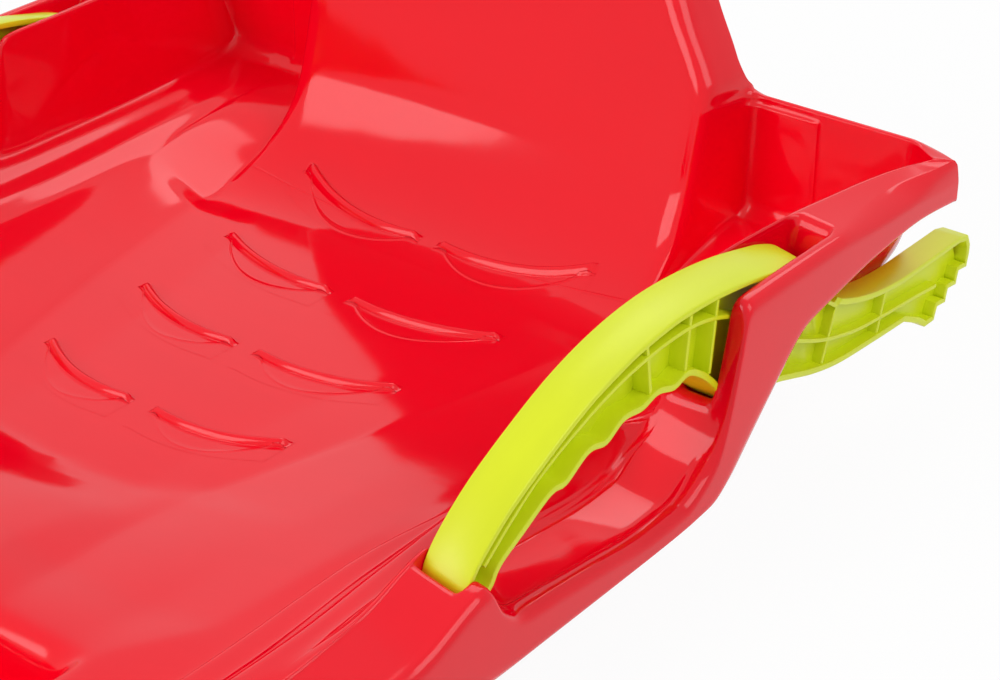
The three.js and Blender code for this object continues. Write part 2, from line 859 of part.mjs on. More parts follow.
function rearRings([x, y, z]) {
  return [
    [x, mix(y, REAR_OUTER_Y, 1 / 4), z + ROLL_DROP],
    [x, mix(y, REAR_OUTER_Y, 1 / 2), z + ROLL_DROP],
    [x, REAR_OUTER_Y - ROLL_EDGE, z],
    [x, REAR_OUTER_Y, z - ROLL_SIDE_DROP],
    [x, REAR_OUTER_Y, z - REAR_SKIRT_DROP],
  ];
}

function borderRings([x, y, z]) {
  const steps = [...Array(ALL_RINGS).keys()];
  return steps.map((step) => [x, y + BORDER_LIP * (step + 1), z]);
}

// The inner edge of the rim in order from the nose round to the top of the backrest
function shellPerimeter(rows) {
  const lastRow = rows.length - 1;
  const rearRow = lastRow - BACK_UPPER_SHARES.length;
  const edge = [];
  for (let column = 0; column < LAST_COLUMN; column += 1) {
    edge.push({ row: 0, column, rings: noseRings });
  }
  for (let row = 0; row < rearRow; row += 1) {
    const nose = rows[row][LAST_COLUMN][1] < NOSE_START_Y;
    edge.push({ row, column: LAST_COLUMN, rings: nose ? noseRings : sideRings });
  }
  edge.push({ row: rearRow, column: LAST_COLUMN, rings: cornerRings });
  for (let column = LAST_COLUMN - 1; column >= BORDER_COLUMN; column -= 1) {
    edge.push({ row: rearRow, column, rings: rearRings });
  }
  for (let row = rearRow + 1; row < lastRow; row += 1) {
    edge.push({ row, column: BORDER_COLUMN, rings: borderRings });
  }
  for (let column = CREASE_COLUMN - 1; column >= 0; column -= 1) {
    edge.push({ row: lastRow, column, rings: borderRings });
  }
  return edge;
}

// Collects the points and triangles of both halves of a sheet, sharing the middle points
class Sheet {
  constructor() {
    this.points = [];
    this.triangles = [];
    this.names = new Map();
  }

  point(name, side, [x, y, z]) {
    const key = x === 0 ? name : name + "/" + side;
    if (!this.names.has(key)) {
      this.names.set(key, this.points.length);
      this.points.push(new THREE.Vector3(side * x, y, z));
    }
    return this.names.get(key);
  }

  quad(side, a, b, c, d) {
    this.triangles.push(side > 0 ? [a, b, c] : [a, c, b]);
    this.triangles.push(side > 0 ? [a, c, d] : [a, d, c]);
  }
}

// The upper face of the shell with some or all of the rings outside its inner edge
function shellSheet(ringCount) {
  const rows = shellRows();
  const lastRow = rows.length - 1;
  const sheet = new Sheet();
  const edges = [];
  for (const side of [1, -1]) {
    const at = (row, column) => {
      if (row === lastRow && column === CREASE_COLUMN) {
        return at(lastRow - 1, BORDER_COLUMN);
      }
      return sheet.point("shell" + row + "." + column, side, rows[row][column]);
    };
    for (let row = 0; row < lastRow; row += 1) {
      const columns = row + 1 === lastRow ? CREASE_COLUMN : rows[row + 1].length - 1;
      for (let column = 0; column < columns; column += 1) {
        const a = at(row, column);
        const b = at(row, column + 1);
        const c = at(row + 1, column + 1);
        const d = at(row + 1, column);
        sheet.quad(side, a, b, c, d);
      }
    }
    const perimeter = shellPerimeter(rows);
    const loops = perimeter.map(({ row, column, rings }, place) => {
      const inner = rows[row][column];
      const ids = [at(row, column)];
      rings(inner).slice(0, ringCount).forEach((ring, step) => {
        ids.push(sheet.point("rim" + place + "." + step, side, ring));
      });
      return ids;
    });
    for (let place = 1; place < loops.length; place += 1) {
      const from = loops[place - 1];
      const to = loops[place];
      for (let step = 1; step < from.length; step += 1) {
        sheet.quad(side, from[step - 1], from[step], to[step], to[step - 1]);
      }
      const start = from[from.length - 1];
      const end = to[to.length - 1];
      edges.push(side > 0 ? [start, end] : [end, start]);
    }
  }
  return { sheet, edges };
}

// Directions square to the sheet at each point, long enough to keep the wall even at corners
function sheetOffsets(sheet) {
  const sums = sheet.points.map(() => new THREE.Vector3());
  const faces = sheet.triangles.map(([a, b, c]) => {
    const ab = sheet.points[b].clone().sub(sheet.points[a]);
    const ac = sheet.points[c].clone().sub(sheet.points[a]);
    return ab.cross(ac).normalize();
  });
  const corner = (triangle, place) => {
    const [at, next, last] = [0, 1, 2].map((step) => sheet.points[triangle[(place + step) % 3]]);
    return next.clone().sub(at).angleTo(last.clone().sub(at));
  };
  sheet.triangles.forEach((triangle, index) => {
    triangle.forEach((point, place) => {
      sums[point].addScaledVector(faces[index], corner(triangle, place));
    });
  });
  sums.forEach((sum) => sum.normalize());
  const spread = sums.map(() => 1);
  sheet.triangles.forEach((triangle, index) => {
    triangle.forEach((point) => {
      const facing = Math.max(SPREAD_LEAST_SHARE, sums[point].dot(faces[index]));
      spread[point] = Math.min(spread[point], facing);
    });
  });
  return sums.map((sum, index) => sum.multiplyScalar(1 / Math.sqrt(spread[index])));
}

// Closes a sheet into a solid between the sheet and a second set of points
function closeSheet(sheet, edges, others) {
  const count = sheet.points.length;
  const positions = [...sheet.points, ...others].flatMap((point) => point.toArray());
  const index = sheet.triangles.flatMap(([a, b, c]) => [a, b, c]);
  sheet.triangles.forEach(([a, b, c]) => {
    index.push(a + count, c + count, b + count);
  });
  edges.forEach(([start, end]) => {
    index.push(start, start + count, end + count);
    index.push(start, end + count, end);
  });
  const geometry = new THREE.BufferGeometry();
  geometry.setAttribute("position", new THREE.Float32BufferAttribute(positions, 3));
  geometry.setIndex(index);
  return geometry;
}

// A three.js geometry as a solid that can be added, cut and intersected
function solid(geometry) {
  const bare = geometry.clone();
  bare.deleteAttribute("normal");
  bare.deleteAttribute("uv");
  const merged = mergeVertices(bare);
  return new wasm.Manifold(
    new wasm.Mesh({
      numProp: 3,
      vertProperties: new Float32Array(merged.attributes.position.array),
      triVerts: new Uint32Array(merged.index.array),
    }),
  );
}

function geometryOf(body) {
  const mesh = body.getMesh();
  const count = mesh.vertProperties.length / mesh.numProp;
  const positions = [];
  for (let i = 0; i < count; i += 1) {
    const start = i * mesh.numProp;
    positions.push(...mesh.vertProperties.subarray(start, start + 3));
  }
  const geometry = new THREE.BufferGeometry();
  geometry.setAttribute("position", new THREE.Float32BufferAttribute(positions, 3));
  geometry.setIndex([...mesh.triVerts]);
  geometry.computeVertexNormals();
  return geometry;
}

// The one body left when slivers and specks smaller than a grain of sand are dropped
function largestBody(body) {
  const pieces = body.simplify(SLIVER).decompose();
  return pieces.reduce((best, next) => (next.volume() > best.volume() ? next : best));
}

function mirrored(body) {
  return body.mirror([1, 0, 0]);
}

function boxSolid([lowX, lowY, lowZ], [highX, highY, highZ]) {
  const geometry = new THREE.BoxGeometry(highX - lowX, highY - lowY, highZ - lowZ);
  geometry.translate((lowX + highX) / 2, (lowY + highY) / 2, (lowZ + highZ) / 2);
  return solid(geometry);
}

// A round bar along x, round the pivot of the lever
function pivotBar(radius, lowX, highX) {
  const geometry = new THREE.CylinderGeometry(radius, radius, highX - lowX, ROUND_SEGMENTS);
  geometry.rotateZ(-Math.PI / 2);
  geometry.translate((lowX + highX) / 2, HUB_Y, HUB_Z);
  return solid(geometry);
}

// An outline given thickness, with its first measure along x and its second along y
function extruded(outline, depth, holes = []) {
  const shape = new THREE.Shape(outline.map(([a, b]) => new THREE.Vector2(a, b)));
  holes.forEach((hole) => {
    shape.holes.push(new THREE.Path(hole.map(([a, b]) => new THREE.Vector2(a, b))));
  });
  return new THREE.ExtrudeGeometry(shape, { depth, bevelEnabled: false });
}

// A plan outline (x, y) given height
function planSolid(outline, lowZ, highZ) {
  const geometry = extruded(outline, highZ - lowZ);
  geometry.translate(0, 0, lowZ);
  return solid(geometry);
}

// A side outline (y, z) given thickness along x
function plateSolid(outline, lowX, highX, holes = []) {
  const geometry = extruded(outline, highX - lowX, holes);
  // Shape x, y and depth become y, z and x
  const turn = new THREE.Matrix4().makeBasis(
    new THREE.Vector3(0, 1, 0),
    new THREE.Vector3(0, 0, 1),
    new THREE.Vector3(1, 0, 0),
  );
  geometry.applyMatrix4(turn);
  geometry.translate(lowX, 0, 0);
  return solid(geometry);
}

// A strip of even thickness along a line of (y, z) points
function stripOutline(line, thickness) {
  const upper = [];
  const lower = [];
  line.forEach(([y, z], place) => {
    const before = line[Math.max(place - 1, 0)];
    const after = line[Math.min(place + 1, line.length - 1)];
    const run = Math.hypot(after[0] - before[0], after[1] - before[1]);
    const acrossY = (-(after[1] - before[1]) / run) * (thickness / 2);
    const acrossZ = ((after[0] - before[0]) / run) * (thickness / 2);
    upper.push([y + acrossY, z + acrossZ]);
    lower.push([y - acrossY, z - acrossZ]);
  });
  return [...lower, ...upper.reverse()];
}

// The same closed outline moved inwards; the outline runs anticlockwise
function insetOutline(outline, distance) {
  const count = outline.length;
  return outline.map(([y, z], place) => {
    const before = outline[(place + count - 1) % count];
    const after = outline[(place + 1) % count];
    const into = new THREE.Vector2(y - before[0], z - before[1]).normalize();
    const out = new THREE.Vector2(after[0] - y, after[1] - z).normalize();
    const inward = new THREE.Vector2(-into.y - out.y, into.x + out.x).normalize();
    const share = Math.max(MITRE_LEAST_SHARE, inward.dot(new THREE.Vector2(-into.y, into.x)));
    return [y + (inward.x * distance) / share, z + (inward.y * distance) / share];
  });
}

// Height of the seat or the foot of the backrest under a point
function seatHeight(x, y) {
  const across = x / BACK_HALF_WIDTH;
  const into = y - (BACK_START_Y - BACK_DISH * across * across);
  return into <= 0 ? 0 : BACK_RADIUS - Math.sqrt(BACK_RADIUS * BACK_RADIUS - into * into);
}

// One raised grip rib: bowed towards the front, fading out at both ends
function gripRib(row) {
  const startY = row * RIB_PITCH;
  const outerX = RIB_OUTER_X + RIB_OUTER_GROWTH * row;
  const sections = [];
  for (let step = 0; step <= RIB_STEPS; step += 1) {
    const share = step / RIB_STEPS;
    const x = mix(RIB_INNER_X, outerX, share);
    const bow = 4 * share * (1 - share);
    const y = startY + RIB_SWEEP * share - RIB_BOW * bow;
    const fade = Math.min(1, RIB_END_SHARE + Math.min(share, 1 - share) / RIB_FADE_SHARE);
    const floor = seatHeight(x, y);
    const half = RIB_HALF_WIDTH * Math.sqrt(fade);
    const topHalf = RIB_TOP_HALF_WIDTH * fade;
    sections.push([
      [x, y - half, floor - RIB_SINK],
      [x, y + half, floor - RIB_SINK],
      [x, y + topHalf, floor + RIB_HEIGHT * fade],
      [x, y - topHalf, floor + RIB_HEIGHT * fade],
    ]);
  }
  return solid(loftGeometry(sections));
}

// Skins a row of closed sections that follow each other along +x
function loftGeometry(sections) {
  const size = sections[0].length;
  const positions = sections.flat().flat();
  const index = [];
  for (let section = 1; section < sections.length; section += 1) {
    const from = (section - 1) * size;
    const to = section * size;
    for (let place = 0; place < size; place += 1) {
      const next = (place + 1) % size;
      index.push(from + place, from + next, to + next);
      index.push(from + place, to + next, to + place);
    }
  }
  const last = (sections.length - 1) * size;
  for (let place = 1; place + 1 < size; place += 1) {
    index.push(0, place + 1, place);
    index.push(last, last + place, last + place + 1);
  }
  const geometry = new THREE.BufferGeometry();
  geometry.setAttribute("position", new THREE.Float32BufferAttribute(positions, 3));
  geometry.setIndex(index);
  return geometry;
}

// Everything above the middle of the sheet, used to trim what is bonded below it
function spaceAboveShell() {
  const { sheet, edges } = shellSheet(FLAT_RINGS);
  const lowered = sheet.points.map((point) => point.clone());
  lowered.forEach((point) => {
    point.z -= WALL / 2;
  });
  const raised = sheet.points.map((point) => new THREE.Vector3(point.x, point.y, FAR));
  const upper = { points: raised, triangles: sheet.triangles };
  return solid(closeSheet(upper, edges, lowered));
}

function keelSolid() {
  const low = KEEL_X - KEEL_WIDTH / 2;
  const high = KEEL_X + KEEL_WIDTH / 2;
  const outline = KEEL_SHARES.map(([place, drop]) => [alongY(place), drop * GROUND_DROP]);
  return plateSolid(outline, low, high);
}

// Lowest place of the pocket in which the tip of the lever rests
function tipFloorZ() {
  const [, foot] = LEVER_BOTTOM_SHARES[LEVER_BOTTOM_SHARES.length - 1];
  return HUB_Z + foot * LEVER_RISE - TIP_FLOOR_GAP;
}

function tipPocketBlocks() {
  const lowY = TIP_Y - TIP_GAP - TIP_BLOCK_MARGIN;
  const lowZ = tipFloorZ() - TIP_BLOCK_MARGIN;
  const main = boxSolid(
    [SLOT_INNER_X - TIP_BLOCK_MARGIN, lowY, lowZ],
    [HALF_WIDTH - TIP_BLOCK_EDGE, alongY(TIP_POCKET_REAR_SHARE), TUB_DEPTH],
  );
  const side = boxSolid(
    [HALF_WIDTH - TIP_SIDE_IN, lowY, lowZ],
    [HALF_WIDTH - TIP_SIDE_OUT, alongY(TIP_BLOCK_REAR_SHARE), TIP_SIDE_TOP_Z],
  );
  return main.subtract(spaceAboveShell()).add(side);
}

function tipPocketCut() {
  return boxSolid(
    [SLOT_INNER_X, TIP_Y - TIP_GAP, tipFloorZ()],
    [SLOT_OUTER_X, alongY(TIP_POCKET_REAR_SHARE), FAR],
  );
}

// The slot of the lever narrows on its inner side, beside the rim that narrows there too
function slotCut() {
  const frontY = alongY(SLOT_FRONT_SHARE);
  const rearY = alongY(SLOT_REAR_SHARE);
  const plan = [
    [SLOT_INNER_X, frontY],
    [SLOT_OUTER_X, frontY],
    [SLOT_OUTER_X, rearY],
    [SLOT_INNER_X + TAPER, rearY],
    [SLOT_INNER_X, alongY(SLOT_TAPER_SHARE)],
  ];
  return planSolid(plan, SLOT_FLOOR_Z, FAR);
}

function slotRearWall() {
  const rearY = alongY(SLOT_REAR_SHARE);
  return boxSolid(
    [SLOT_INNER_X + TAPER - WALL / 2, rearY, SLOT_REAR_FOOT_Z],
    [SLOT_OUTER_X + LINING_THICK, rearY + WALL, rimOuterZ(rearY) - SLOT_WALL_SHORT],
  );
}

// The floor of the slot in front of the pivot
function slotLedge() {
  return boxSolid(
    [SLOT_INNER_X - LEDGE_BOND, alongY(LEDGE_FRONT_SHARE), SLOT_FLOOR_Z - LEDGE_THICK],
    [HALF_WIDTH - BOSS_SHORT_OF_EDGE, alongY(LEDGE_REAR_SHARE), SLOT_FLOOR_Z],
  );
}

function slotLining() {
  const outline = LINING_SHARES.map(([place, height]) => [alongY(place), height * TUB_DEPTH]);
  return plateSolid(outline, SLOT_OUTER_X, SLOT_OUTER_X + LINING_THICK);
}

// x of the side wall of the seat at the height of the pivot
function pivotWallX() {
  const [footX, , footZ] = creasePoint(LAST_COLUMN - 1, HUB_Y);
  const share = (HUB_Z - footZ) / (rimInnerZ(HUB_Y) - footZ);
  return mix(footX, innerX(HUB_Y), share);
}

// Bosses on the two walls beside the lever, in which the ends of the pin rest
function pivotBosses() {
  const inner = pivotBar(
    BOSS_RADIUS,
    pivotWallX() + PIN_BLIND / 2,
    LEVER_INNER_X - BOSS_GAP,
  );
  const outer = pivotBar(
    BOSS_RADIUS,
    LEVER_OUTER_X + BOSS_OUTER_GAP,
    HALF_WIDTH - BOSS_SHORT_OF_EDGE,
  );
  return inner.add(outer);
}

// Blind bore for the pin, and the entries from below that it is pressed up through
function pivotCut() {
  const startX = pivotWallX() + PIN_BLIND;
  const endX = HALF_WIDTH - PIN_SHORT_OF_EDGE + PIN_CLEARANCE;
  const bore = pivotBar(PIN_RADIUS + PIN_CLEARANCE, startX, endX);
  const entry = boxSolid(
    [startX, HUB_Y - ENTRY_HALF_WIDTH, -FAR],
    [endX, HUB_Y + ENTRY_HALF_WIDTH, HUB_Z],
  );
  return bore.add(entry);
}

function ropeHole() {
  const depth = 2 * ROPE_HOLE_HALF_DEPTH;
  const geometry = new THREE.CylinderGeometry(
    ROPE_HOLE_RADIUS,
    ROPE_HOLE_RADIUS,
    depth,
    ROUND_SEGMENTS,
  );
  geometry.rotateX(Math.PI / 2);
  geometry.translate(ROPE_HOLE_X, ROPE_HOLE_IN - FRONT_LENGTH, rimInnerZ(-FRONT_LENGTH));
  return solid(geometry);
}

function shellGeometry() {
  const { sheet, edges } = shellSheet(ALL_RINGS);
  const offsets = sheetOffsets(sheet);
  const under = sheet.points.map((point, place) =>
    point.clone().addScaledVector(offsets[place], -WALL),
  );
  let shell = solid(closeSheet(sheet, edges, under));

  let below = keelSolid();
  below = below.add(mirrored(below)).subtract(spaceAboveShell());
  shell = shell.add(below);

  for (let row = 0; row < RIB_ROWS; row += 1) {
    const rib = gripRib(row);
    shell = shell.add(rib).add(mirrored(rib));
  }

  const added = [slotRearWall(), slotLedge(), slotLining(), tipPocketBlocks(), pivotBosses()];
  const removed = [tipPocketCut(), pivotCut(), ropeHole()];
  for (const turn of [(piece) => piece, mirrored]) {
    shell = shell.subtract(turn(slotCut()));
    added.forEach((piece) => {
      shell = shell.add(turn(piece));
    });
    removed.forEach((piece) => {
      shell = shell.subtract(turn(piece));
    });
  }
  return largestBody(shell);
}

// A point of the lever from its share of the reach of grip or tail and of the rise
function leverPoint([reach, rise]) {
  const length = reach < 0 ? GRIP_LENGTH : TAIL_LENGTH;
  return [HUB_Y + reach * length, HUB_Z + rise * LEVER_RISE];
}

// Closed side outline of the whole lever, anticlockwise in y and z
function leverOutline() {
  const teeth = [];
  let [y, z] = leverPoint(LEVER_TAIL_SHARES[LEVER_TAIL_SHARES.length - 1]);
  for (let tooth = 0; tooth < TOOTH_COUNT - 1; tooth += 1) {
    y -= TOOTH_BACK;
    z -= TOOTH_DROP;
    teeth.push([y, z]);
    y -= TOOTH_CUT;
    z += TOOTH_CUT_RISE;
    teeth.push([y, z]);
  }
  return [
    ...LEVER_TOP_SHARES.map(leverPoint),
    ...LEVER_TAIL_SHARES.map(leverPoint),
    ...teeth,
    ...LEVER_HEEL_SHARES.map(leverPoint),
    ...LEVER_BOTTOM_SHARES.map(leverPoint),
  ].reverse();
}

// Plan of what is cut from the inner side of the lever, where the grip narrows to the arm
function armRelief() {
  const taperY = HUB_Y + TAPER_START_SHARE * TAIL_LENGTH;
  const armY = HUB_Y + ARM_START_SHARE * TAIL_LENGTH;
  const plan = [
    [LEVER_INNER_X - LEVER_SKIN, taperY],
    [LEVER_INNER_X, taperY],
    [LEVER_INNER_X + TAPER, armY],
    [ARM_INNER_X, armY],
    [ARM_INNER_X, FAR],
    [LEVER_INNER_X - LEVER_SKIN, FAR],
  ];
  return planSolid(plan, -FAR, FAR);
}

function leverSolid() {
  const outline = leverOutline();
  const inner = insetOutline(outline, LEVER_SKIN);
  const middleX = (LEVER_INNER_X + LEVER_OUTER_X) / 2;
  const armMiddleX = (ARM_INNER_X + LEVER_OUTER_X) / 2;
  const envelope = plateSolid(outline, LEVER_INNER_X, LEVER_OUTER_X);
  const rib = (line) => {
    const strip = stripOutline(line.map(leverPoint), LEVER_RIB);
    return plateSolid(strip, LEVER_INNER_X, LEVER_OUTER_X).intersect(envelope);
  };

  let frame = plateSolid(outline, LEVER_INNER_X, LEVER_OUTER_X, [inner.slice().reverse()]);
  frame = frame.add(rib(MID_RIB_SHARES)).add(rib(ARM_RIB_SHARES));
  CROSS_RIB_SHARES.forEach(([topY, topZ, footY, footZ]) => {
    const line = [
      [footY, footZ],
      [topY, topZ],
    ];
    frame = frame.add(rib(line));
  });
  frame = frame.add(pivotBar(HUB_RADIUS, LEVER_INNER_X, LEVER_OUTER_X)).subtract(armRelief());
  const web = plateSolid(outline, middleX - LEVER_WEB / 2, middleX + LEVER_WEB / 2);
  const armWeb = plateSolid(outline, armMiddleX - LEVER_WEB / 2, armMiddleX + LEVER_WEB / 2);
  const armSide = boxSolid([LEVER_INNER_X, HUB_Y, -FAR], [LEVER_OUTER_X, FAR, FAR]);
  const bore = pivotBar(
    PIN_RADIUS + PIN_CLEARANCE,
    LEVER_INNER_X - LEVER_SKIN,
    LEVER_OUTER_X + LEVER_SKIN,
  );
  return frame
    .add(web.subtract(armSide))
    .add(armWeb.intersect(armSide))
    .subtract(bore);
}

function pinSolid() {
  const startX = pivotWallX() + PIN_BLIND + PIN_CLEARANCE;
  return pivotBar(PIN_RADIUS, startX, HALF_WIDTH - PIN_SHORT_OF_EDGE);
}

function namedMesh(name, body, look) {
  const mesh = new THREE.Mesh(geometryOf(body), new THREE.MeshStandardMaterial(look));
  mesh.name = name;
  return mesh;
}

function buildSled() {
  const sled = new THREE.Group();
  sled.name = "plastic_sled";
  const lever = leverSolid();
  const pin = pinSolid();
  sled.add(namedMesh("hull_shell", shellGeometry(), SHELL_LOOK));
  sled.add(namedMesh("brake_lever_left", lever, LEVER_LOOK));
  sled.add(namedMesh("pivot_pin_left", pin, PIN_LOOK));
  sled.add(namedMesh("brake_lever_right", mirrored(lever), LEVER_LOOK));
  sled.add(namedMesh("pivot_pin_right", mirrored(pin), PIN_LOOK));
  sled.position.set(0, LENGTH_SHIFT, GROUND_DROP);
  return sled;
}

const part = new THREE.Group();
part.add(buildSled());

export default part;
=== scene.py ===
import math

import bmesh
import bpy
import numpy as np
from mathutils import Matrix, Vector


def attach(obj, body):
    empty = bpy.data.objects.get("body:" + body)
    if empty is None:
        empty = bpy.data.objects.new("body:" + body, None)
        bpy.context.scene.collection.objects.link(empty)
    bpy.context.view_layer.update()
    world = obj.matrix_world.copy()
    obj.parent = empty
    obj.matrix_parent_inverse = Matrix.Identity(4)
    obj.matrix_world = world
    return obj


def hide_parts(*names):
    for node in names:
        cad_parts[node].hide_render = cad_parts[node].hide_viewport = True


bl_info = {
    "name": "Plastic sled with hand brakes",
    "version": (1, 0, 0),
    "blender": (4, 5, 0),
    "location": "3D View > Sidebar > Sled",
    "description": "Builds the visible pieces of a child's moulded sled with two hand brakes",
    "category": "Object",
}

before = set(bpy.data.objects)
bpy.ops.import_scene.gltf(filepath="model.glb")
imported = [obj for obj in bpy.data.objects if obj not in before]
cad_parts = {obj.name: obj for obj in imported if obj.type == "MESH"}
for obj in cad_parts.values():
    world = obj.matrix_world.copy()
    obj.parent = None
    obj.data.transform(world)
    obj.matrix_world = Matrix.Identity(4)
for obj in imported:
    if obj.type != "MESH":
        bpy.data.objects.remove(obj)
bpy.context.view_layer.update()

# The shell is drawn in millimetres from the first pair of seat ribs and the seat floor,
# as x from the middle, y towards the back and z up. This is where that point lies.
DRAWING_ORIGIN = (0.0, 134.0, 45.0)
MM = 0.001

# Rim along the side: y, value
OUTER_HALF_WIDTH = ((-480, 205), (-420, 213), (-300, 236), (-200, 247), (-100, 250), (302, 250))
INNER_HALF_WIDTH = (
    (-480, 175), (-420, 181), (-300, 204), (-200, 215), (-100, 217), (-57, 216), (-38, 215),
    (-14, 208.5), (84, 208.5), (104, 215), (150, 215), (175, 216), (198, 218), (225, 222),
    (254, 227), (280, 235), (288, 241),
)
RIM_OUTER_HEIGHT = (
    (-600, 95), (-480, 80), (-420, 62), (-300, 24), (-200, 15), (-100, 23), (-57, 36), (-50, 24),
    (-36, 13), (-13, 11), (18, 8), (51, 4.6), (76, 5.4), (90, 12), (100, 21), (107, 38),
    (115, 70), (118.5, 86), (133, 87), (242, 88), (270, 88.4), (302, 89),
)
RIM_INNER_HEIGHT = (
    (-600, 98), (-480, 86), (-420, 68), (-300, 32), (-200, 23.6), (-100, 31.6), (-57, 42),
    (-50, 30), (-36, 17), (-13, 13), (18, 10), (51, 7), (76, 8), (90, 15), (100, 24), (107, 40),
    (115, 72), (118.5, 88), (133, 90), (302, 90),
)
SKIRT_HEIGHT = (
    (-600, 62), (-480, 46), (-420, 28), (-300, -8), (-200, -17), (-120, -12), (-43, -9), (40, -7),
    (96.5, -4), (108.5, 2), (132, 24), (146.5, 38), (167, 55), (184, 59), (228, 67), (264, 70),
    (302, 67),
)
# Share of a bevel in place of the bead, and its reach as a share of the width, its drop
# and its depth: y, value
BEVEL = ((199, 0), (225, 0.35), (255, 0.7), (288, 1))
BEVEL_REACH = ((225, 0.7), (255, 0.6), (275, 0.42), (288, 0.25))
BEVEL_DROP = ((225, 5.7), (255, 5.7), (275, 4), (288, 2.7))
BEVEL_DEPTH = ((225, 8.2), (255, 8.2), (288, 11))
# Depth of the hollow in the flange along the hand recess: y, value
DISH_DEPTH = ((-44, 0), (-30, 2.5), (-13, 4), (18, 5), (76, 5), (92, 1.5), (100, 0))
DISH_EDGE_SHARE = 0.35

# Creases that run along the shell, from the middle out: y, x, z
CREASES = (
    ((-420, 0, 14), (-300, 0, 19), (-165, 0, 21), (-120, 0, 14), (-85, 0, 7), (-62, 0, 1.6),
     (-53, 0, 0), (175, 0, 0)),
    ((-420, 30, 12), (-300, 32, 17), (-190, 33, 19), (-165, 33, 20.5), (-120, 32, 13.5),
     (-85, 30, 7), (-62, 28, 1.6), (-52, 28, 0), (175, 46, 0)),
    ((-420, 42, -30), (-190, 44, -30), (-165, 50, 19), (-120, 52, 12.5), (-85, 52, 6.5),
     (-60, 50, 1.6), (-48, 49, 0), (175, 88, 0)),
    ((-420, 80, -30), (-190, 80, -30), (-165, 80, 15), (-120, 77, 9), (-85, 73, 5),
     (-50, 72, 1.8), (-32, 76.5, 0.6), (0, 87, 1.2), (80, 108, 2), (175, 128, 2)),
    ((-420, 86, -30), (-190, 86, -30), (-165, 86, 14.5), (-120, 83, 9), (-85, 79, 5.4),
     (-50, 78, 2.4), (-32, 82.5, 1.4), (0, 93, 2.2), (80, 114, 3.2), (175, 134, 3.2)),
    ((-420, 118, -30), (-190, 122, -30), (-165, 128, 14.5), (-120, 132, 11.5), (-50, 134, 10),
     (50, 142, 8.5), (100, 150, 9.5), (170, 160, 12), (205, 172, 19), (288, 172, 27)),
    ((-420, 130, 12), (-300, 134, 10), (-190, 136, 14), (-165, 141, 15.5), (-137, 155, 15.5),
     (-117, 163, 15), (-60, 166, 14.5), (30, 170, 12.5), (100, 172, 13), (170, 174, 16),
     (288, 174, 27)),
    ((-420, 142, 16), (-300, 160, 14), (-190, 177, 15), (-140, 179, 15.5), (-60, 177, 14.5),
     (10, 183, 15.5), (30, 184, 16), (100, 184, 17), (288, 184, 27)),
    ((-420, 145, 21), (-300, 162, 19), (-190, 180, 20), (-140, 181, 20.5), (-60, 178.5, 20),
     (10, 185, 18.5), (30, 186, 17.5), (100, 187, 18), (288, 187, 27)),
    ((-420, 154, 23), (-300, 174, 19), (-190, 195, 20), (-140, 195, 20.5), (-60, 190, 20),
     (10, 189, 19.5), (30, 196, 21), (100, 196, 20), (288, 196, 27)),
    ((-420, 160, 32), (-300, 180, 26), (-190, 201, 27), (-120, 202, 27), (-60, 198, 27),
     (10, 193, 27), (30, 203, 26.5), (100, 203, 24), (288, 205, 27)),
    ((-420, 172, 44), (-300, 196, 27), (-190, 209, 27), (-100, 212, 27), (-40, 211.5, 27),
     (-15, 205.5, 27), (85, 205.5, 27), (104, 211.5, 26), (118, 211.5, 25), (200, 212.5, 25),
     (260, 216, 26), (288, 219, 27)),
)
LAST_COLUMN = len(CREASES)
CREASE_COLUMN = 3
BORDER_COLUMN = 4

# Rows of the seat part from front to rear: y at the rim, at the seat crease, in the middle
SEAT_ROWS = (
    (-420, -420, -420), (-360, -360, -360), (-300, -300, -300), (-240, -240, -240),
    (-190, -190, -190), (-165, -165, -165), (-130, -125, -128), (-100, -92, -100),
    (-75, -66, -80), (-65.3, -55.2, -70.3), (-64.1, -54, -69.3), (-57, -46, -62),
    (-50, -32, -53), (-36, -18, -34), (-13, 5, -6), (18, 28, 24), (51, 52, 50), (76, 74, 73),
    (90, 90, 89), (100, 102, 102), (105.3, 109, 109), (106.5, 111, 111), (115, 122, 122),
    (118.5, 131, 131), (133, 142, 143), (150, 153, 156), (168, 164, 170),
)
ROW_STEP = 6.0

# Nose plan and the slope behind it
NOSE_START_Y = -480
NOSE_OUTER_HALF = 205
NOSE_OUTER_DEPTH = 120
NOSE_INNER_HALF = 175
NOSE_INNER_DEPTH = 88
NOSE_POWER = 2.2
NOSE_CORNER_X = 133
NOSE_RIM_INNER_Z = 98
NOSE_RIM_OUTER_Z = 95
NOSE_SKIRT_Z = 62
FRONT_ROW_Y = -420
FRONT_REACH = (1, 0.98, 0.82, 0.64, 0.46, 0.3, 0.15, 0)
FRONT_RISE = (1, 0.985, 0.87, 0.74, 0.6, 0.42, 0.2, 0)
FRONT_STEPS = 6

# Backrest: an arc from the seat up to the lean, then a straight part
BACK_RADIUS = 80
BACK_START_Y = 184
BACK_DISH = 9
BACK_HALF_WIDTH = 130
BACK_LEAN = math.radians(76)
ARC_TOP_Z = BACK_RADIUS * (1 - math.cos(BACK_LEAN))
# Up the arc: share, half width of the backrest, y and z of the pocket's foot, y at the rim
ARC_TABLE = (
    (0, 128, 176, 1, 188), (0.2, 129.4, 204, 4, 214), (0.4, 130, 231, 12, 240),
    (0.6, 130, 257, 20, 262), (0.8, 130, 277, 25, 275), (1, 130, 291, 27, 282),
)
POCKET_FOOT_HALF = 133
LAST_SEAT_STEPS = 4
ARC_STEPS = 36
# Rows of the arc at the rear end of the slot, in place of the even ones there
SLOT_REAR_STEPS = (2, 3)
SLOT_REAR_SHARES = (0.055, 0.0711)
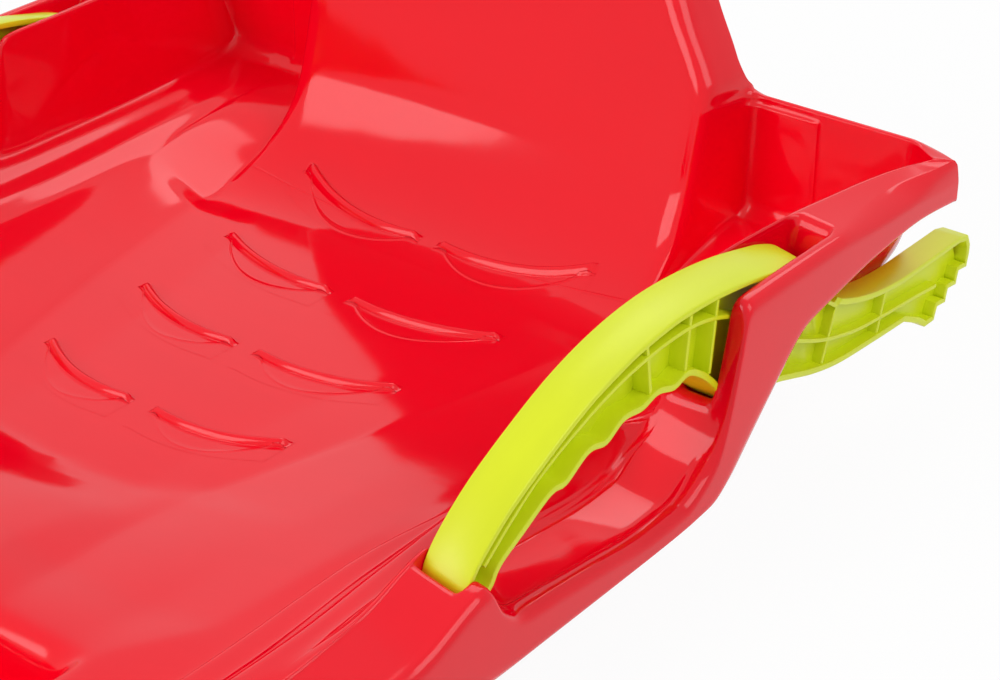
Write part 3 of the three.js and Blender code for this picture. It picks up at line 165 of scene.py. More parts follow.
# Above the rear rim: place, z at the edge, z in the middle, half width
UPPER_FOOT_Z = 92
UPPER_TABLE = (
    (0, UPPER_FOOT_Z, UPPER_FOOT_Z, BACK_HALF_WIDTH), (1, 101, 103, 128.5), (2, 112, 118, 122),
    (3, 130, 137, 108), (4, 148, 156, 96), (5, 164, 173, 84), (6, 176, 187, 70),
)
UPPER_STEPS = 5
# The border is full deep from this place up
BORDER_FULL_PLACE = 2
BORDER_DEPTH = 22
BORDER_FLARE = 1.5
BORDER_LIP = 6

# Rear wall
REAR_INNER_Y = 298
REAR_PANEL_PROUD = 2
REAR_PANEL_TOP_SHARE = 0.935
REAR_PANEL_STEP_SHARE = 0.02
REAR_RIM_Z = 91
REAR_CORNER_Y = 288
REAR_OUTER_Y = 304
REAR_CORNER_OUT = 5
REAR_SKIRT_Z = 70
REAR_COLUMN_X = (133, 172, 174, 184, 187, 196, 206, 225)
RISE_STEPS = 14
REAR_CROWN = 0.9
REAR_CORNER_TURN = 12
# Shares of the rise after which the wall and its corner stand upright
REAR_FOOT_SHARE = 0.12
REAR_CORNER_SHARE = 0.4

# Columns between neighbouring creases, and the rounding of each crease
PLAIN_COLUMNS = (2, 1, 3, 2, 5, 2, 1, 0, 1, 0, 1, 4)
CREASE_ROUNDING = (0, 8, 4, 3, 3, 6, 3, 1.6, 1.6, 2, 2.4, 3, 2.2)
# On the backrest the edge and the border round more, in full from this height up
BACK_EDGE_ROUNDING = 8
BORDER_ROUNDING = 5
BACK_ROUNDING_Z = 40
# A rounding takes at most this share of the span beside it
SPAN_SHARE = 0.4
# Columns across the flange as shares of its width up to the crest of the rim bead
FLANGE_SHARES = (0.085, 0.115, 0.3, 0.5, 0.7, 0.855, 0.885, 0.94, 1.0)
# Share of the hollow's depth at the first of these columns
DISH_PROFILE = (0.6, 0.7, 0.92, 1.0, 1.0, 1.0)
SLOT_FIRST_COLUMN = 1
SLOT_LAST_COLUMN = 5
SLOT_EDGE_DROPS = (1.6, 0.4)
# The bead's rounding, the bevel's crisp edge and the skirt below them
BEAD_REACH = 6.5
BEAD_DEPTH = 5.5
BEAD_TURNS = (0.16, 0.38, 0.62, 0.84)
BEVEL_EDGE = 1.2
SKIRT_SHARES = (0.15, 0.5, 0.85, 1.0)
RING_COUNT = len(FLANGE_SHARES) + len(BEAD_TURNS) + 1 + len(SKIRT_SHARES)

# Slot and tip pocket in the flange
SLOT_FRONT_Y = 106
SLOT_REAR_Y = 196
SLOT_REAR_WALL_Z = 62
SLOT_REAR_WALL_DEPTH = 2
LEDGE_FLOOR = ((106, 37.5), (113, 39), (117, 34.5), (122, 29), (126, 27.5))
LEDGE_REAR_Y = 136
LINING_FOOT = ((106, 27.5), (126, 27.5), (147, 43), (168, 60), (200, 64))
POCKET_FRONT_Y = -64.7
POCKET_REAR_Y = -44
POCKET_FLOOR_Z = 23.6

# Grip ribs on the seat
RIB_ROWS = 4
RIB_PITCH = 69
RIB_INNER_X = 9.4
RIB_OUTER_X = 75
RIB_OUTER_GROWTH = 6.1
RIB_BOW = 13
RIB_SWEEP = 14
RIB_LIFT = 0.08
RIB_LINE_HEIGHTS = (0.08, 0.1, 0.12, 0.24)
RIB_LINE_HALF_WIDTH = 0.6
RIB_STEPS = 56
RIB_OVERRUN = 0.05
# Share of the width at the inner and the outer end
RIB_GROWTH = (0.85, 1.25)
RIB_FULLNESS = 0.8
# Overrun and length of the fade at the inner and the outer end, as shares of the length
RIDGE_FADE = ((0.045, 0.05), (0.035, 0.04))
LINE_FADE = ((0.05, 0.05), (0.05, 0.05))
# Margins and steps across a rib: before the line, behind it, before the ridge, behind it
RIB_FRONT_MARGIN = 3
RIB_LINE_MARGINS = (1.6, 1.4)
RIDGE_MARGIN = 0.4
RIB_REAR_MARGINS = (0.6, 2)
FIELD_STEPS = 5
RIDGE_STEPS = 7

# Holes for a tow rope in the nose rim
ROPE_HOLE_X = 42
ROPE_HOLE_Y = -583
ROPE_HOLE_Z = 96
ROPE_HOLE_RADIUS = 5.5
ROPE_HOLE_DEPTH = 50
ROPE_HOLE_SIDES = 48
ROPE_HOLE_EDGE_REACH = 1.2
ROPE_HOLE_EDGE_ANGLE = 0.8

# Faint line where the backrest begins: x, y
SEAM_START = (60, 206)
SEAM_END = (127, 211)
SEAM_STEPS = 30
SEAM_OFFSETS = (-1.0, -0.55, -0.28, 0.0, 0.28, 0.55, 1.0)
SEAM_HALF_WIDTH = 0.55
SEAM_HEIGHT = 0.22

# Runner keels
KEEL_X = 62
KEEL_WIDTH = 9
KEEL_FRONT_Y = -480
KEEL_REAR_Y = 238
KEEL_STEPS = 90
KEEL_SINK = 1.0
KEEL_LEAST_HEIGHT = 0.5
KEEL_SIDE_SHARE = 0.6
KEEL_EDGE = 1.6
KEEL_EDGE_TURNS = (0.25, 0.5, 0.75, 1.0)
KEEL_FOOT = ((-488, 5), (-474, -30), (-455, -45), (210, -45), (228, -30), (240, 0))

# Brake lever seen from the side: y, z
LEVER_TOP = (
    (-63, 28), (-62, 36), (-53, 47), (-34, 61), (-7, 75), (19, 86), (47, 93.5), (75, 97),
    (103, 96.5), (132, 93), (158, 87.5), (174, 83.5), (183, 79.5), (189, 73), (193, 65),
    (199, 57), (212, 48), (238, 39.5), (266, 35.5), (300, 35), (326, 35),
)
LEVER_TAIL = ((334, 33), (337, 27), (337, 22))
LEVER_TEETH = (
    (335.4, 15), (327.4, 15.9), (325.8, 8.9), (317.8, 9.8), (316.2, 2.8), (308.2, 3.7), (306, -3),
)
LEVER_HEEL = ((297, -3), (289, 2.5), (275, 9))
LEVER_BOTTOM = (
    (253, 10), (216, 12.5), (192, 17), (172, 23), (158, 27), (143, 28), (127, 30), (115, 39),
    (105, 50), (96, 57.5), (87, 62), (77, 60), (65, 63), (54, 60.5), (41, 61.5), (29, 56),
    (17, 57.5), (2, 50), (-8, 50), (-26, 41), (-40, 33.5), (-45, 27), (-50, 24), (-59, 24),
)
LEVER_INNER_X = 219
LEVER_OUTER_X = 241
ARM_INNER_X = 226
LINE_STEP = 2.5
CORNER_STEPS = 5
TAPER_START_Y = 168
ARM_START_Y = 189
TAPER = 3
TAPER_STEP = 1.5
# Rounding of the band's section, and how the top of the grip slopes
BAND_EDGE_SHARE = 0.3
CROWN_DEPTH = 10
CROWN_RUNOUT = 20
CROWN_LEVEL_SHARE = 0.42
CROWN_BOW = 0.25
# Web and ribs inside the band, with how far they stay back from its two sides
WEB_HALF_THICKNESS = 1.5
WEB_INTO_BAND = 0.6
WEB_LARGEST_SHARE = 0.4
WEB_STEPS = 150
LONG_RIB_INSETS = (1, 0.6)
CROSS_RIB_INSETS = (1.4, 1)
MID_RIB = (
    (-50, 38), (-34, 50), (-15, 62), (11, 72.5), (38, 80.5), (65, 84.5), (92, 84.5), (117, 78),
    (138, 67),
)
ARM_RIB = ((160, 48), (178, 40), (202, 30.5), (231, 23.5), (259, 20.5), (288, 18), (306, 16))
CROSS_RIBS = (
    ((57, 91), (61, 64)), ((89, 92), (86, 64)), ((109, 91), (105, 55)), ((210, 46), (200, 18)),
    ((256, 34), (250, 12)),
)
HUB_Y = 142
HUB_Z = 48
HUB_RADIUS = 13
PIN_RADIUS = 4
PIN_START_X = 215.3
PIN_END_X = 245.8
PIN_PLAY = 0.3
PIN_CHAMFER = 0.8
CIRCLE_STEPS = 40
LEVER_SHARP_ANGLE = math.radians(38)
PIN_SHARP_ANGLE = math.radians(40)

# Left and right of the rider
SIDES = (("left", 1), ("right", -1))

# Points nearer to each other than this are joined, in metres
WELD_REACH = 1e-6
# Points nearer to the middle plane than this lie in it
MIDDLE_REACH = 1e-5

# Stage, in metres
CAMERA_PLACE = (0.739, -0.548, 0.626)
CAMERA_AZIMUTH = math.radians(37.9)
CAMERA_ELEVATION = math.radians(28.8)
CAMERA_ROLL = math.radians(0.4)
CAMERA_LENS = 90.0
CAMERA_SENSOR = 36.0
CAMERA_NEAR = 0.01
FLOOR_HALF_WIDTH = 14
FLOOR_WHITE_SHARE = 0.95
WORLD_LIGHT = 0.36
WHITE = (1.0, 1.0, 1.0, 1.0)
LAMP_AIM = (0, 0.12, 0.08)
# Name, place, size, power
LAMPS = (
    ("key", (-0.8, -2.0, 1.5), 1.8, 40.0),
    ("side", (1.7, 0.4, 1.7), 1.3, 16.0),
    ("back", (-0.3, 1.7, 2.1), 1.3, 13.0),
)


# Sizes and colours that a user would change


def length_setting(name, description, default, lowest=0.0):
    return bpy.props.FloatProperty(
        name=name, description=description, default=default, min=lowest,
        subtype="DISTANCE", unit="LENGTH",
    )


def colour_setting(name, description, default):
    return bpy.props.FloatVectorProperty(
        name=name, description=description, default=(*default, 1.0), min=0.0, max=1.0,
        subtype="COLOR", size=4,
    )


class SledSizes(bpy.types.PropertyGroup):
    wall: length_setting("Wall", "Thickness of the moulded shell", 0.0026, 0.001)
    rib_height: length_setting("Rib height", "How far a grip rib stands above the seat", 0.003)
    rib_half_width: length_setting(
        "Rib half width", "Half of the width of a grip rib at its foot", 0.0026, 0.001,
    )
    rib_apron: length_setting(
        "Rib apron", "How far the sunk field in front of a rib reaches", 0.015,
    )
    lever_skin: length_setting(
        "Lever skin", "Thickness of the band round a brake lever", 0.0032, 0.001,
    )
    lever_rib: length_setting(
        "Lever rib", "Thickness of the ribs inside a brake lever", 0.0022, 0.001,
    )
    lever_edge: length_setting("Lever edge", "Rounding of the edges of a brake lever", 0.0007)
    lever_crown: length_setting(
        "Lever crown", "How far the outer edge of the grip lies below the inner", 0.004,
    )


class SledColours(bpy.types.PropertyGroup):
    shell: colour_setting("Shell", "Colour of the red shell", (0.90, 0.0, 0.013))
    lever: colour_setting("Lever", "Colour of the lime brake levers", (0.75, 0.84, 0.008))
    pin: colour_setting("Pin", "Colour of the steel pivot pins", (0.55, 0.56, 0.57))
    floor: colour_setting("Floor", "Colour of the studio floor", (0.92, 0.92, 0.92))


# Curves through tables of places


def smooth_rows(knots, values, places):
    """Reads rows of values with curves that never overshoot their points."""
    steps = np.diff(knots)[:, None]
    slopes = np.diff(values, axis=0) / steps
    before, after = slopes[:-1], slopes[1:]
    weight_a = 2 * steps[1:] + steps[:-1]
    weight_b = steps[1:] + 2 * steps[:-1]
    same = before * after > 0
    safe_before = np.where(same, before, 1)
    safe_after = np.where(same, after, 1)
    middle = (weight_a + weight_b) / (weight_a / safe_before + weight_b / safe_after)
    tangents = np.vstack([slopes[:1], np.where(same, middle, 0), slopes[-1:]])
    inside = np.clip(places, knots[0], knots[-1])
    spot = np.clip(np.searchsorted(knots, inside, side="right") - 1, 0, len(knots) - 2)
    step = steps[spot]
    t = (inside - knots[spot])[:, None] / step
    return (
        (2 * t**3 - 3 * t**2 + 1) * values[spot]
        + (t**3 - 2 * t**2 + t) * step * tangents[spot]
        + (3 * t**2 - 2 * t**3) * values[spot + 1]
        + (t**3 - t**2) * step * tangents[spot + 1]
    )


def read_row(table, place):
    """The values at one place in a table of (place, value, value and so on)."""
    rows = np.asarray(table, float)
    return smooth_rows(rows[:, 0], rows[:, 1:], np.array([place]))[0]


def read(table, place):
    return float(read_row(table, place)[0])


def straight(table, place):
    """Reads a table of (place, value) with straight lines between its points."""
    return float(np.interp(place, *zip(*table)))


def mix(a, b, share):
    return a + (b - a) * share


def ease(share):
    share = np.clip(share, 0, 1)
    return share * share * (3 - 2 * share)


def settle(share):
    """Rises from nothing and levels off at one."""
    return 1 - (1 - min(share, 1)) ** 2


def unit(vector):
    length = np.linalg.norm(vector)
    return vector / length if length > 1e-9 else vector


# Points of the shell, in millimetres


CREASE_ARRAYS = [np.array(line, float) for line in CREASES]


def crease_point(column, y):
    x, z = read_row(CREASE_ARRAYS[column], y)
    return np.array([x, y, z])


def rim_or_crease(column, y):
    if column == LAST_COLUMN:
        return np.array([read(INNER_HALF_WIDTH, y), y, read(RIM_INNER_HEIGHT, y)])
    return crease_point(column, y)


def nose_inner_y(x):
    across = (abs(x) / NOSE_INNER_HALF) ** NOSE_POWER
    return NOSE_START_Y - NOSE_INNER_DEPTH * (1 - across) ** (1 / NOSE_POWER)


def nose_side_point(reach):
    start_x = read(INNER_HALF_WIDTH, FRONT_ROW_Y)
    y = mix(FRONT_ROW_Y, nose_inner_y(NOSE_CORNER_X), reach)
    if y >= NOSE_START_Y:
        return read(INNER_HALF_WIDTH, y), y
    depth = ((NOSE_START_Y - y) / NOSE_INNER_DEPTH) ** NOSE_POWER
    return min(NOSE_INNER_HALF * (1 - depth) ** (1 / NOSE_POWER), start_x), y


def front_row(reach, rise):
    """A row of the slope between the nose rim and the front seat row."""
    start_x = read(INNER_HALF_WIDTH, FRONT_ROW_Y)
    corner_y = nose_inner_y(NOSE_CORNER_X)
    side = nose_side_point(reach)
    direct = (mix(start_x, NOSE_CORNER_X, reach), mix(FRONT_ROW_Y, corner_y, reach))
    points = []
    for column in range(LAST_COLUMN + 1):
        foot = rim_or_crease(column, FRONT_ROW_Y)
        share = foot[0] / start_x
        nose_x = NOSE_CORNER_X * share
        x = mix(foot[0], nose_x, reach) + share * (side[0] - direct[0])
        y = mix(FRONT_ROW_Y, nose_inner_y(nose_x), reach) + share * (side[1] - direct[1])
        points.append((x, y, mix(foot[2], NOSE_RIM_INNER_Z, rise)))
    return np.array(points)


def seat_row(rim_y, crease_y, middle_y):
    points = []
    for column in range(LAST_COLUMN + 1):
        if column <= CREASE_COLUMN:
            y = mix(middle_y, crease_y, column / CREASE_COLUMN)
        else:
            share = (column - CREASE_COLUMN) / (LAST_COLUMN - CREASE_COLUMN)
            y = mix(crease_y, rim_y, share)
        points.append(rim_or_crease(column, y))
    return np.array(points)


def back_reach(z):
    if z < ARC_TOP_Z:
        return BACK_RADIUS * math.sin(math.acos(1 - z / BACK_RADIUS))
    return BACK_RADIUS * math.sin(BACK_LEAN) + (z - ARC_TOP_Z) / math.tan(BACK_LEAN)


def back_point(x, z):
    across = x / BACK_HALF_WIDTH
    return np.array([x, BACK_START_Y - BACK_DISH * across * across + back_reach(z), z])


def arc_row(share):
    """A row that climbs the foot of the backrest and runs along the side pocket."""
    z = BACK_RADIUS * (1 - math.cos(share * BACK_LEAN))
    half, foot_y, foot_z, rim_y = read_row(ARC_TABLE, share)
    points = [back_point(half * column / CREASE_COLUMN, z) for column in range(BORDER_COLUMN)]
    points.append(np.array([POCKET_FOOT_HALF, foot_y, foot_z]))
    for column in range(BORDER_COLUMN + 1, LAST_COLUMN + 1):
        across = (column - BORDER_COLUMN) / (LAST_COLUMN - BORDER_COLUMN)
        points.append(rim_or_crease(column, mix(foot_y, rim_y, across)))
    return np.array(points)


def rise_row(share):
    """A row of the backrest and the rear wall between the pocket floor and the rear rim."""
    foot = arc_row(1.0)
    back_z = mix(ARC_TOP_Z, UPPER_FOOT_Z, share)
    points = [
        back_point(BACK_HALF_WIDTH * column / CREASE_COLUMN, back_z)
        for column in range(BORDER_COLUMN)
    ]
    for column in range(BORDER_COLUMN, LAST_COLUMN + 1):
        if column == LAST_COLUMN:
            x, y = read(INNER_HALF_WIDTH, REAR_CORNER_Y), REAR_CORNER_Y
            shares = [settle(share / REAR_CORNER_SHARE)] * 3
        else:
            x, y = REAR_COLUMN_X[column - BORDER_COLUMN], REAR_INNER_Y
            shares = (share, settle(share / REAR_FOOT_SHARE), share)
        if column <= BORDER_COLUMN + 1:
            step = ease((share - REAR_PANEL_TOP_SHARE) / REAR_PANEL_STEP_SHARE)
            y -= REAR_PANEL_PROUD * (1 - step)
        top = (x, y, REAR_RIM_Z)
        points.append(np.array([mix(*values) for values in zip(foot[column], top, shares)]))
    return np.array(points)


def upper_row(place):
    """A row of the backrest above the rear rim, with the border that turns back round it."""
    edge_z, middle_z, half = read_row(UPPER_TABLE, place)
    points = []
    for column in range(BORDER_COLUMN):
        share = column / CREASE_COLUMN
        points.append(back_point(half * share, mix(middle_z, edge_z, share * share)))
    x, y, z = back_point(half, edge_z)
    depth = mix(REAR_INNER_Y - y, BORDER_DEPTH, settle(place / BORDER_FULL_PLACE))
    points.append(np.array([x + BORDER_FLARE, y + depth, z]))
    return np.array(points), (edge_z, middle_z, half)


# Rows of fine columns


def back_surface(fine, row):
    """Moves the first columns onto the curved face of the backrest."""
    edge_z, middle_z, half = row
    for index in range(FACE_COLUMNS):
        x = fine[index][0]
        share = min(abs(x) / half, 1)
        fine[index] = back_point(x, mix(middle_z, edge_z, share * share))
    return fine


def fine_columns(points, after, rounding):
    """Rounds each crease of a row and fills the spans between them."""
    last = len(points) - 1
    corners = []
    for column in range(1, last + 1):
        here = points[column]
        ahead = points[column + 1] if column < last else after
        behind = points[column - 1]
        back = here - behind
        on = ahead - here
        reach = rounding[column]
        start = here - unit(back) * min(reach, SPAN_SHARE * np.linalg.norm(back))
        end = here + unit(on) * min(reach, SPAN_SHARE * np.linalg.norm(on))
        corners.append((start, (start + 2 * here + end) / 4, end))
    fine = [points[0]]
    from_point = points[0]
    for column in range(last):
        start, middle, end = corners[column]
        count = PLAIN_COLUMNS[column]
        for step in range(1, count + 1):
            fine.append(mix(from_point, start, step / (count + 1)))
        fine += [start, middle, end]
        from_point = end
    return np.array(fine)


def columns_before(column):
    """How many fine columns lie before the rounding of a crease."""
    return 1 + sum(PLAIN_COLUMNS[:column]) + 3 * (column - 1)


FACE_COLUMNS = columns_before(CREASE_COLUMN) + 1
TOP_COLUMNS = FACE_COLUMNS + 1
BORDER_COLUMNS = columns_before(BORDER_COLUMN) + 3


def flange_edge(point):
    """Outer edge, bead height and skirt height of the rim outside a point of its inner edge."""
    x, y, _ = point
    if y < NOSE_START_Y:
        out_x = x * NOSE_OUTER_HALF / NOSE_INNER_HALF
        out_y = NOSE_START_Y + (y - NOSE_START_Y) * NOSE_OUTER_DEPTH / NOSE_INNER_DEPTH
        reach = (NOSE_START_Y - y) / NOSE_INNER_DEPTH
        bead = mix(read(RIM_OUTER_HEIGHT, NOSE_START_Y), NOSE_RIM_OUTER_Z, reach)
        skirt = mix(read(SKIRT_HEIGHT, NOSE_START_Y), NOSE_SKIRT_Z, reach)
        return np.array([out_x, out_y]), bead, skirt
    turn = ease((y - REAR_CORNER_Y + REAR_CORNER_TURN) / REAR_CORNER_TURN)
    out_y = y + turn * (REAR_OUTER_Y - REAR_CORNER_OUT - REAR_CORNER_Y)
    out = np.array([read(OUTER_HALF_WIDTH, y), out_y])
    return out, read(RIM_OUTER_HEIGHT, out_y), read(SKIRT_HEIGHT, out_y)


def rim_rings(first, start, out, heights, bevel, sunk):
    """Rings of a rim from its inner edge over the bead or bevel and down the skirt."""
    inner_z, bead_z, skirt_z = heights
    bevel_drop = read(BEVEL_DROP, first[1])
    away = out - start
    width = np.linalg.norm(away)
    toward = unit(away)
    bevel_reach = read(BEVEL_REACH, first[1]) * width
    reach = mix(min(BEAD_REACH, SPAN_SHARE * width), bevel_reach, bevel)
    depth = mix(BEAD_DEPTH, read(BEVEL_DEPTH, first[1]), bevel)
    crest = out - toward * reach
    rings = [first]
    for place, share in enumerate(FLANGE_SHARES):
        z = mix(inner_z, bead_z, share) - sunk[place]
        rings.append(np.array([*mix(start, crest, share), z]))
    for turn in BEAD_TURNS:
        angle = turn * math.pi / 2
        flat = min(turn / BEAD_TURNS[-1], 1)
        inward = mix(reach * (1 - math.sin(angle)), mix(reach, BEVEL_EDGE, flat), bevel)
        drop = mix(depth * (1 - math.cos(angle)), bevel_drop * flat, bevel)
        rings.append(np.array([*(out - toward * inward), bead_z - drop]))
    rings.append(np.array([*out, bead_z - depth]))
    for share in SKIRT_SHARES:
        rings.append(np.array([*out, mix(bead_z - depth, skirt_z, share)]))
    return rings


def flange_rings(first, inner):
    """Rings of the side rim and of the nose rim."""
    out, bead_z, skirt_z = flange_edge(inner)
    y = inner[1]
    dish = read(DISH_DEPTH, y) if y > NOSE_START_Y else 0
    slotted = SLOT_FRONT_Y < y < SLOT_REAR_Y
    start = first[:2] if y > SLOT_REAR_Y else inner[:2]
    sunk = [0.0] * len(FLANGE_SHARES)
    for place, share in enumerate(DISH_PROFILE):
        sunk[place] = dish * share
    near_drop, far_drop = SLOT_EDGE_DROPS if slotted else (0, 0)
    sunk[SLOT_LAST_COLUMN + 1] = max(DISH_EDGE_SHARE * dish, near_drop)
    sunk[SLOT_LAST_COLUMN + 2] = far_drop
    return rim_rings(first, start, out, (inner[2], bead_z, skirt_z), read(BEVEL, y), sunk)


def rear_rings(first):
    """Rings over the thin rim of the rear wall, and round its corner."""
    x, y, z = first
    corner_x = read(INNER_HALF_WIDTH, REAR_CORNER_Y)
    turn = float(np.clip((x - REAR_COLUMN_X[-1]) / (corner_x - REAR_COLUMN_X[-1]), 0, 1))
    out = np.array([
        mix(x, read(OUTER_HALF_WIDTH, REAR_CORNER_Y), turn),
        mix(REAR_OUTER_Y, REAR_OUTER_Y - REAR_CORNER_OUT, turn),
    ])
    out_z = mix(REAR_RIM_Z, read(RIM_OUTER_HEIGHT, REAR_OUTER_Y), turn)
    skirt_z = mix(REAR_SKIRT_Z, read(SKIRT_HEIGHT, REAR_OUTER_Y), turn)
    crown = [-REAR_CROWN * (1 - turn) * math.sin(math.pi * share) for share in FLANGE_SHARES]
    return rim_rings(first, np.array([x, y]), out, (z, out_z, skirt_z), turn, crown)


def border_rings(first):
    """Rings of the lip at the rear edge of the backrest border."""
    return [
        first + np.array([0, BORDER_LIP * step / RING_COUNT, 0]) for step in range(RING_COUNT + 1)
    ]


def shell_rows():
    """Rows of the lower part, each with the face of the backrest that it lies on, if any."""
    rows = []
    knots = np.arange(float(len(FRONT_REACH)))
    places = [0.0, 0.5] + [
        1 + step / FRONT_STEPS for step in range((len(FRONT_REACH) - 2) * FRONT_STEPS)
    ]
    slope = smooth_rows(knots, np.array([FRONT_REACH, FRONT_RISE]).T, np.array(places))
    for reach, rise in slope:
        rows.append((front_row(reach, rise), None))
    for start, end in zip(SEAT_ROWS, SEAT_ROWS[1:]):
        span = max(abs(b - a) for a, b in zip(start, end))
        count = max(1, math.ceil(span / ROW_STEP))
        for step in range(count):
            row = [mix(a, b, step / count) for a, b in zip(start, end)]
            rows.append((seat_row(*row), None))
    last_seat = seat_row(*SEAT_ROWS[-1])
    first_arc = arc_row(0.0)
    for step in range(LAST_SEAT_STEPS):
        rows.append((mix(last_seat, first_arc, step / LAST_SEAT_STEPS), None))
    regular = [step / ARC_STEPS for step in range(ARC_STEPS + 1) if step not in SLOT_REAR_STEPS]
    for share in sorted([*regular, *SLOT_REAR_SHARES]):
        z = BACK_RADIUS * (1 - math.cos(share * BACK_LEAN))
        rows.append((arc_row(share), (z, z, read_row(ARC_TABLE, share)[0])))
    shares = [step / RISE_STEPS for step in range(1, RISE_STEPS)]
    panel_top = [REAR_PANEL_TOP_SHARE, REAR_PANEL_TOP_SHARE + REAR_PANEL_STEP_SHARE]
    for share in [*shares, *panel_top, 1]:
        edge_z = mix(ARC_TOP_Z, UPPER_FOOT_Z, share)
        rows.append((rise_row(share), (edge_z, edge_z, BACK_HALF_WIDTH)))
    return rows


class ShellSheet:
    """Collects the points and faces of one half of the shell."""

    def __init__(self):
        self.points = []
        self.faces = []

    def add(self, points):
        first = len(self.points)
        self.points += [np.array(point, float) for point in points]
        return list(range(first, len(self.points)))

    def strip(self, left, right):
        for index in range(1, len(left)):
            self.faces.append((left[index - 1], right[index - 1], right[index], left[index]))

    def strips(self, rows):
        for before, after in zip(rows, rows[1:]):
            self.strip(before, after)


def rounding_of(back):
    """The rounding of each crease in a row: the edge of the backrest is softer than the seat's."""
    rounding = list(CREASE_ROUNDING)
    if back is not None:
        share = ease(back[0] / BACK_ROUNDING_Z)
        rounding[CREASE_COLUMN] = mix(rounding[CREASE_COLUMN], BACK_EDGE_ROUNDING, share)
        rounding[BORDER_COLUMN] = mix(rounding[BORDER_COLUMN], BORDER_ROUNDING, share)
    return rounding


def add_lower_part(sheet):
    """Adds the shell up to the rear rim, and gives its rows and their points on the rim."""
    grid, rims = [], []
    for points, back in shell_rows():
        rim = points[LAST_COLUMN]
        out, _, _ = flange_edge(rim)
        ahead = rim + np.array([*(out - rim[:2]), 0])
        fine = fine_columns(points, ahead, rounding_of(back))
        if back is not None:
            fine = back_surface(fine, back)
        grid.append(sheet.add(fine))
        rims.append(rim)
    sheet.strips(grid)
    return grid, rims


def add_upper_part(sheet, foot):
    """Adds the backrest above the rear rim, on the last row of the lower part."""
    rounding = list(CREASE_ROUNDING)
    rounding[CREASE_COLUMN] = BACK_EDGE_ROUNDING
    upper = [foot[:BORDER_COLUMNS]]
    for step in range(1, (len(UPPER_TABLE) - 1) * UPPER_STEPS + 1):
        points, back = upper_row(step / UPPER_STEPS)
        ahead = points[BORDER_COLUMN] + np.array([0, BORDER_LIP, 0])
        upper.append(sheet.add(back_surface(fine_columns(points, ahead, rounding), back)))
    sheet.strips(upper)
    return upper


def add_crown(sheet, top):
    """Adds the border along the top, which turns back as it does at the sides."""
    side = top[TOP_COLUMNS - 1:BORDER_COLUMNS]
    base = [sheet.points[index] for index in top[:TOP_COLUMNS]]
    crown = [top[:TOP_COLUMNS]]
    depths = [sheet.points[index][1] - base[-1][1] for index in side[1:]]
    for depth in [*depths, depths[-1] + BORDER_LIP]:
        crown.append(sheet.add([point + np.array([0, depth, 0]) for point in base]))
    sheet.strips(crown)
    crown_side = [row[-1] for row in crown]
    sheet.faces.append((side[0], crown_side[1], side[1]))
    sheet.strip(side[1:], crown_side[1:-1])
    return crown_side


def add_rim(sheet, grid, rims, upper, crown_side):
    """Adds the rim all round, ring by ring, and ties it to the border along the top."""
    edge = []
    for index in grid[0]:
        point = sheet.points[index]
        inner = rims[0] if index in grid[0][-2:] else point
        edge.append((index, flange_rings(point, inner), None))
    for row, rim in zip(grid[1:], rims[1:]):
        edge.append((row[-1], flange_rings(sheet.points[row[-1]], rim), rim[1]))
    for index in reversed(grid[-1][BORDER_COLUMNS - 1:-1]):
        edge.append((index, rear_rings(sheet.points[index]), None))
    for row in upper[1:]:
        edge.append((row[-1], border_rings(sheet.points[row[-1]]), None))
    sink_slot(edge)
    chains = [([index, *sheet.add(rings[1:])], y) for index, rings, y in edge]
    for (before, y_before), (after, y_after) in zip(chains, chains[1:]):
        for step in range(1, len(before)):
            inside = SLOT_FIRST_COLUMN + 2 <= step <= SLOT_LAST_COLUMN + 1
            if inside and open_below(y_before) and open_below(y_after):
                continue
            sheet.faces.append((before[step - 1], before[step], after[step], after[step - 1]))
    lip, _ = chains[-1]
    for start, end in zip(lip, lip[1:]):
        sheet.faces.append((crown_side[-2], start, end))
    sheet.faces.append((crown_side[-2], lip[-1], crown_side[-1]))


def shell_sheet():
    sheet = ShellSheet()
    grid, rims = add_lower_part(sheet)
    upper = add_upper_part(sheet, grid[-1])
    crown_side = add_crown(sheet, upper[-1])
    add_rim(sheet, grid, rims, upper, crown_side)
    return sheet


def open_below(y):
    """Whether the slot has no floor here, because the lever passes through it."""
    return y is not None and LEDGE_REAR_Y < y < SLOT_REAR_Y


def sink_slot(edge):
    """Lowers the flange inside the slot and inside the pocket for the tip of the lever."""
    for _, rings, y in edge:
        if y is None:
            continue
        for place in range(SLOT_FIRST_COLUMN, SLOT_LAST_COLUMN + 1):
            point = rings[place + 1]
            if SLOT_FRONT_Y < y < SLOT_REAR_Y:
                floor = read(LEDGE_FLOOR, y)
                if place == SLOT_LAST_COLUMN:
                    floor = max(floor, read(LINING_FOOT, y))
                if y > SLOT_REAR_Y - SLOT_REAR_WALL_DEPTH:
                    floor = SLOT_REAR_WALL_Z
                point[2] = floor
            elif POCKET_FRONT_Y < y < POCKET_REAR_Y:
                point[2] = min(point[2], POCKET_FLOOR_Z)


# Meshes


def to_metres(points):
    return (np.asarray(points, float) + np.array(DRAWING_ORIGIN)) * MM


def mesh_object(name, points, faces):
    mesh = bpy.data.meshes.new(name)
    mesh.from_pydata([tuple(point) for point in points], [], faces)
    mesh.validate()
    work = bmesh.new()
    work.from_mesh(mesh)
    bmesh.ops.remove_doubles(work, verts=work.verts, dist=WELD_REACH)
    bmesh.ops.recalc_face_normals(work, faces=work.faces)
    work.to_mesh(mesh)
    work.free()
    for polygon in mesh.polygons:
        polygon.use_smooth = True
    made = bpy.data.objects.new(name, mesh)
    bpy.context.scene.collection.objects.link(made)
    return made


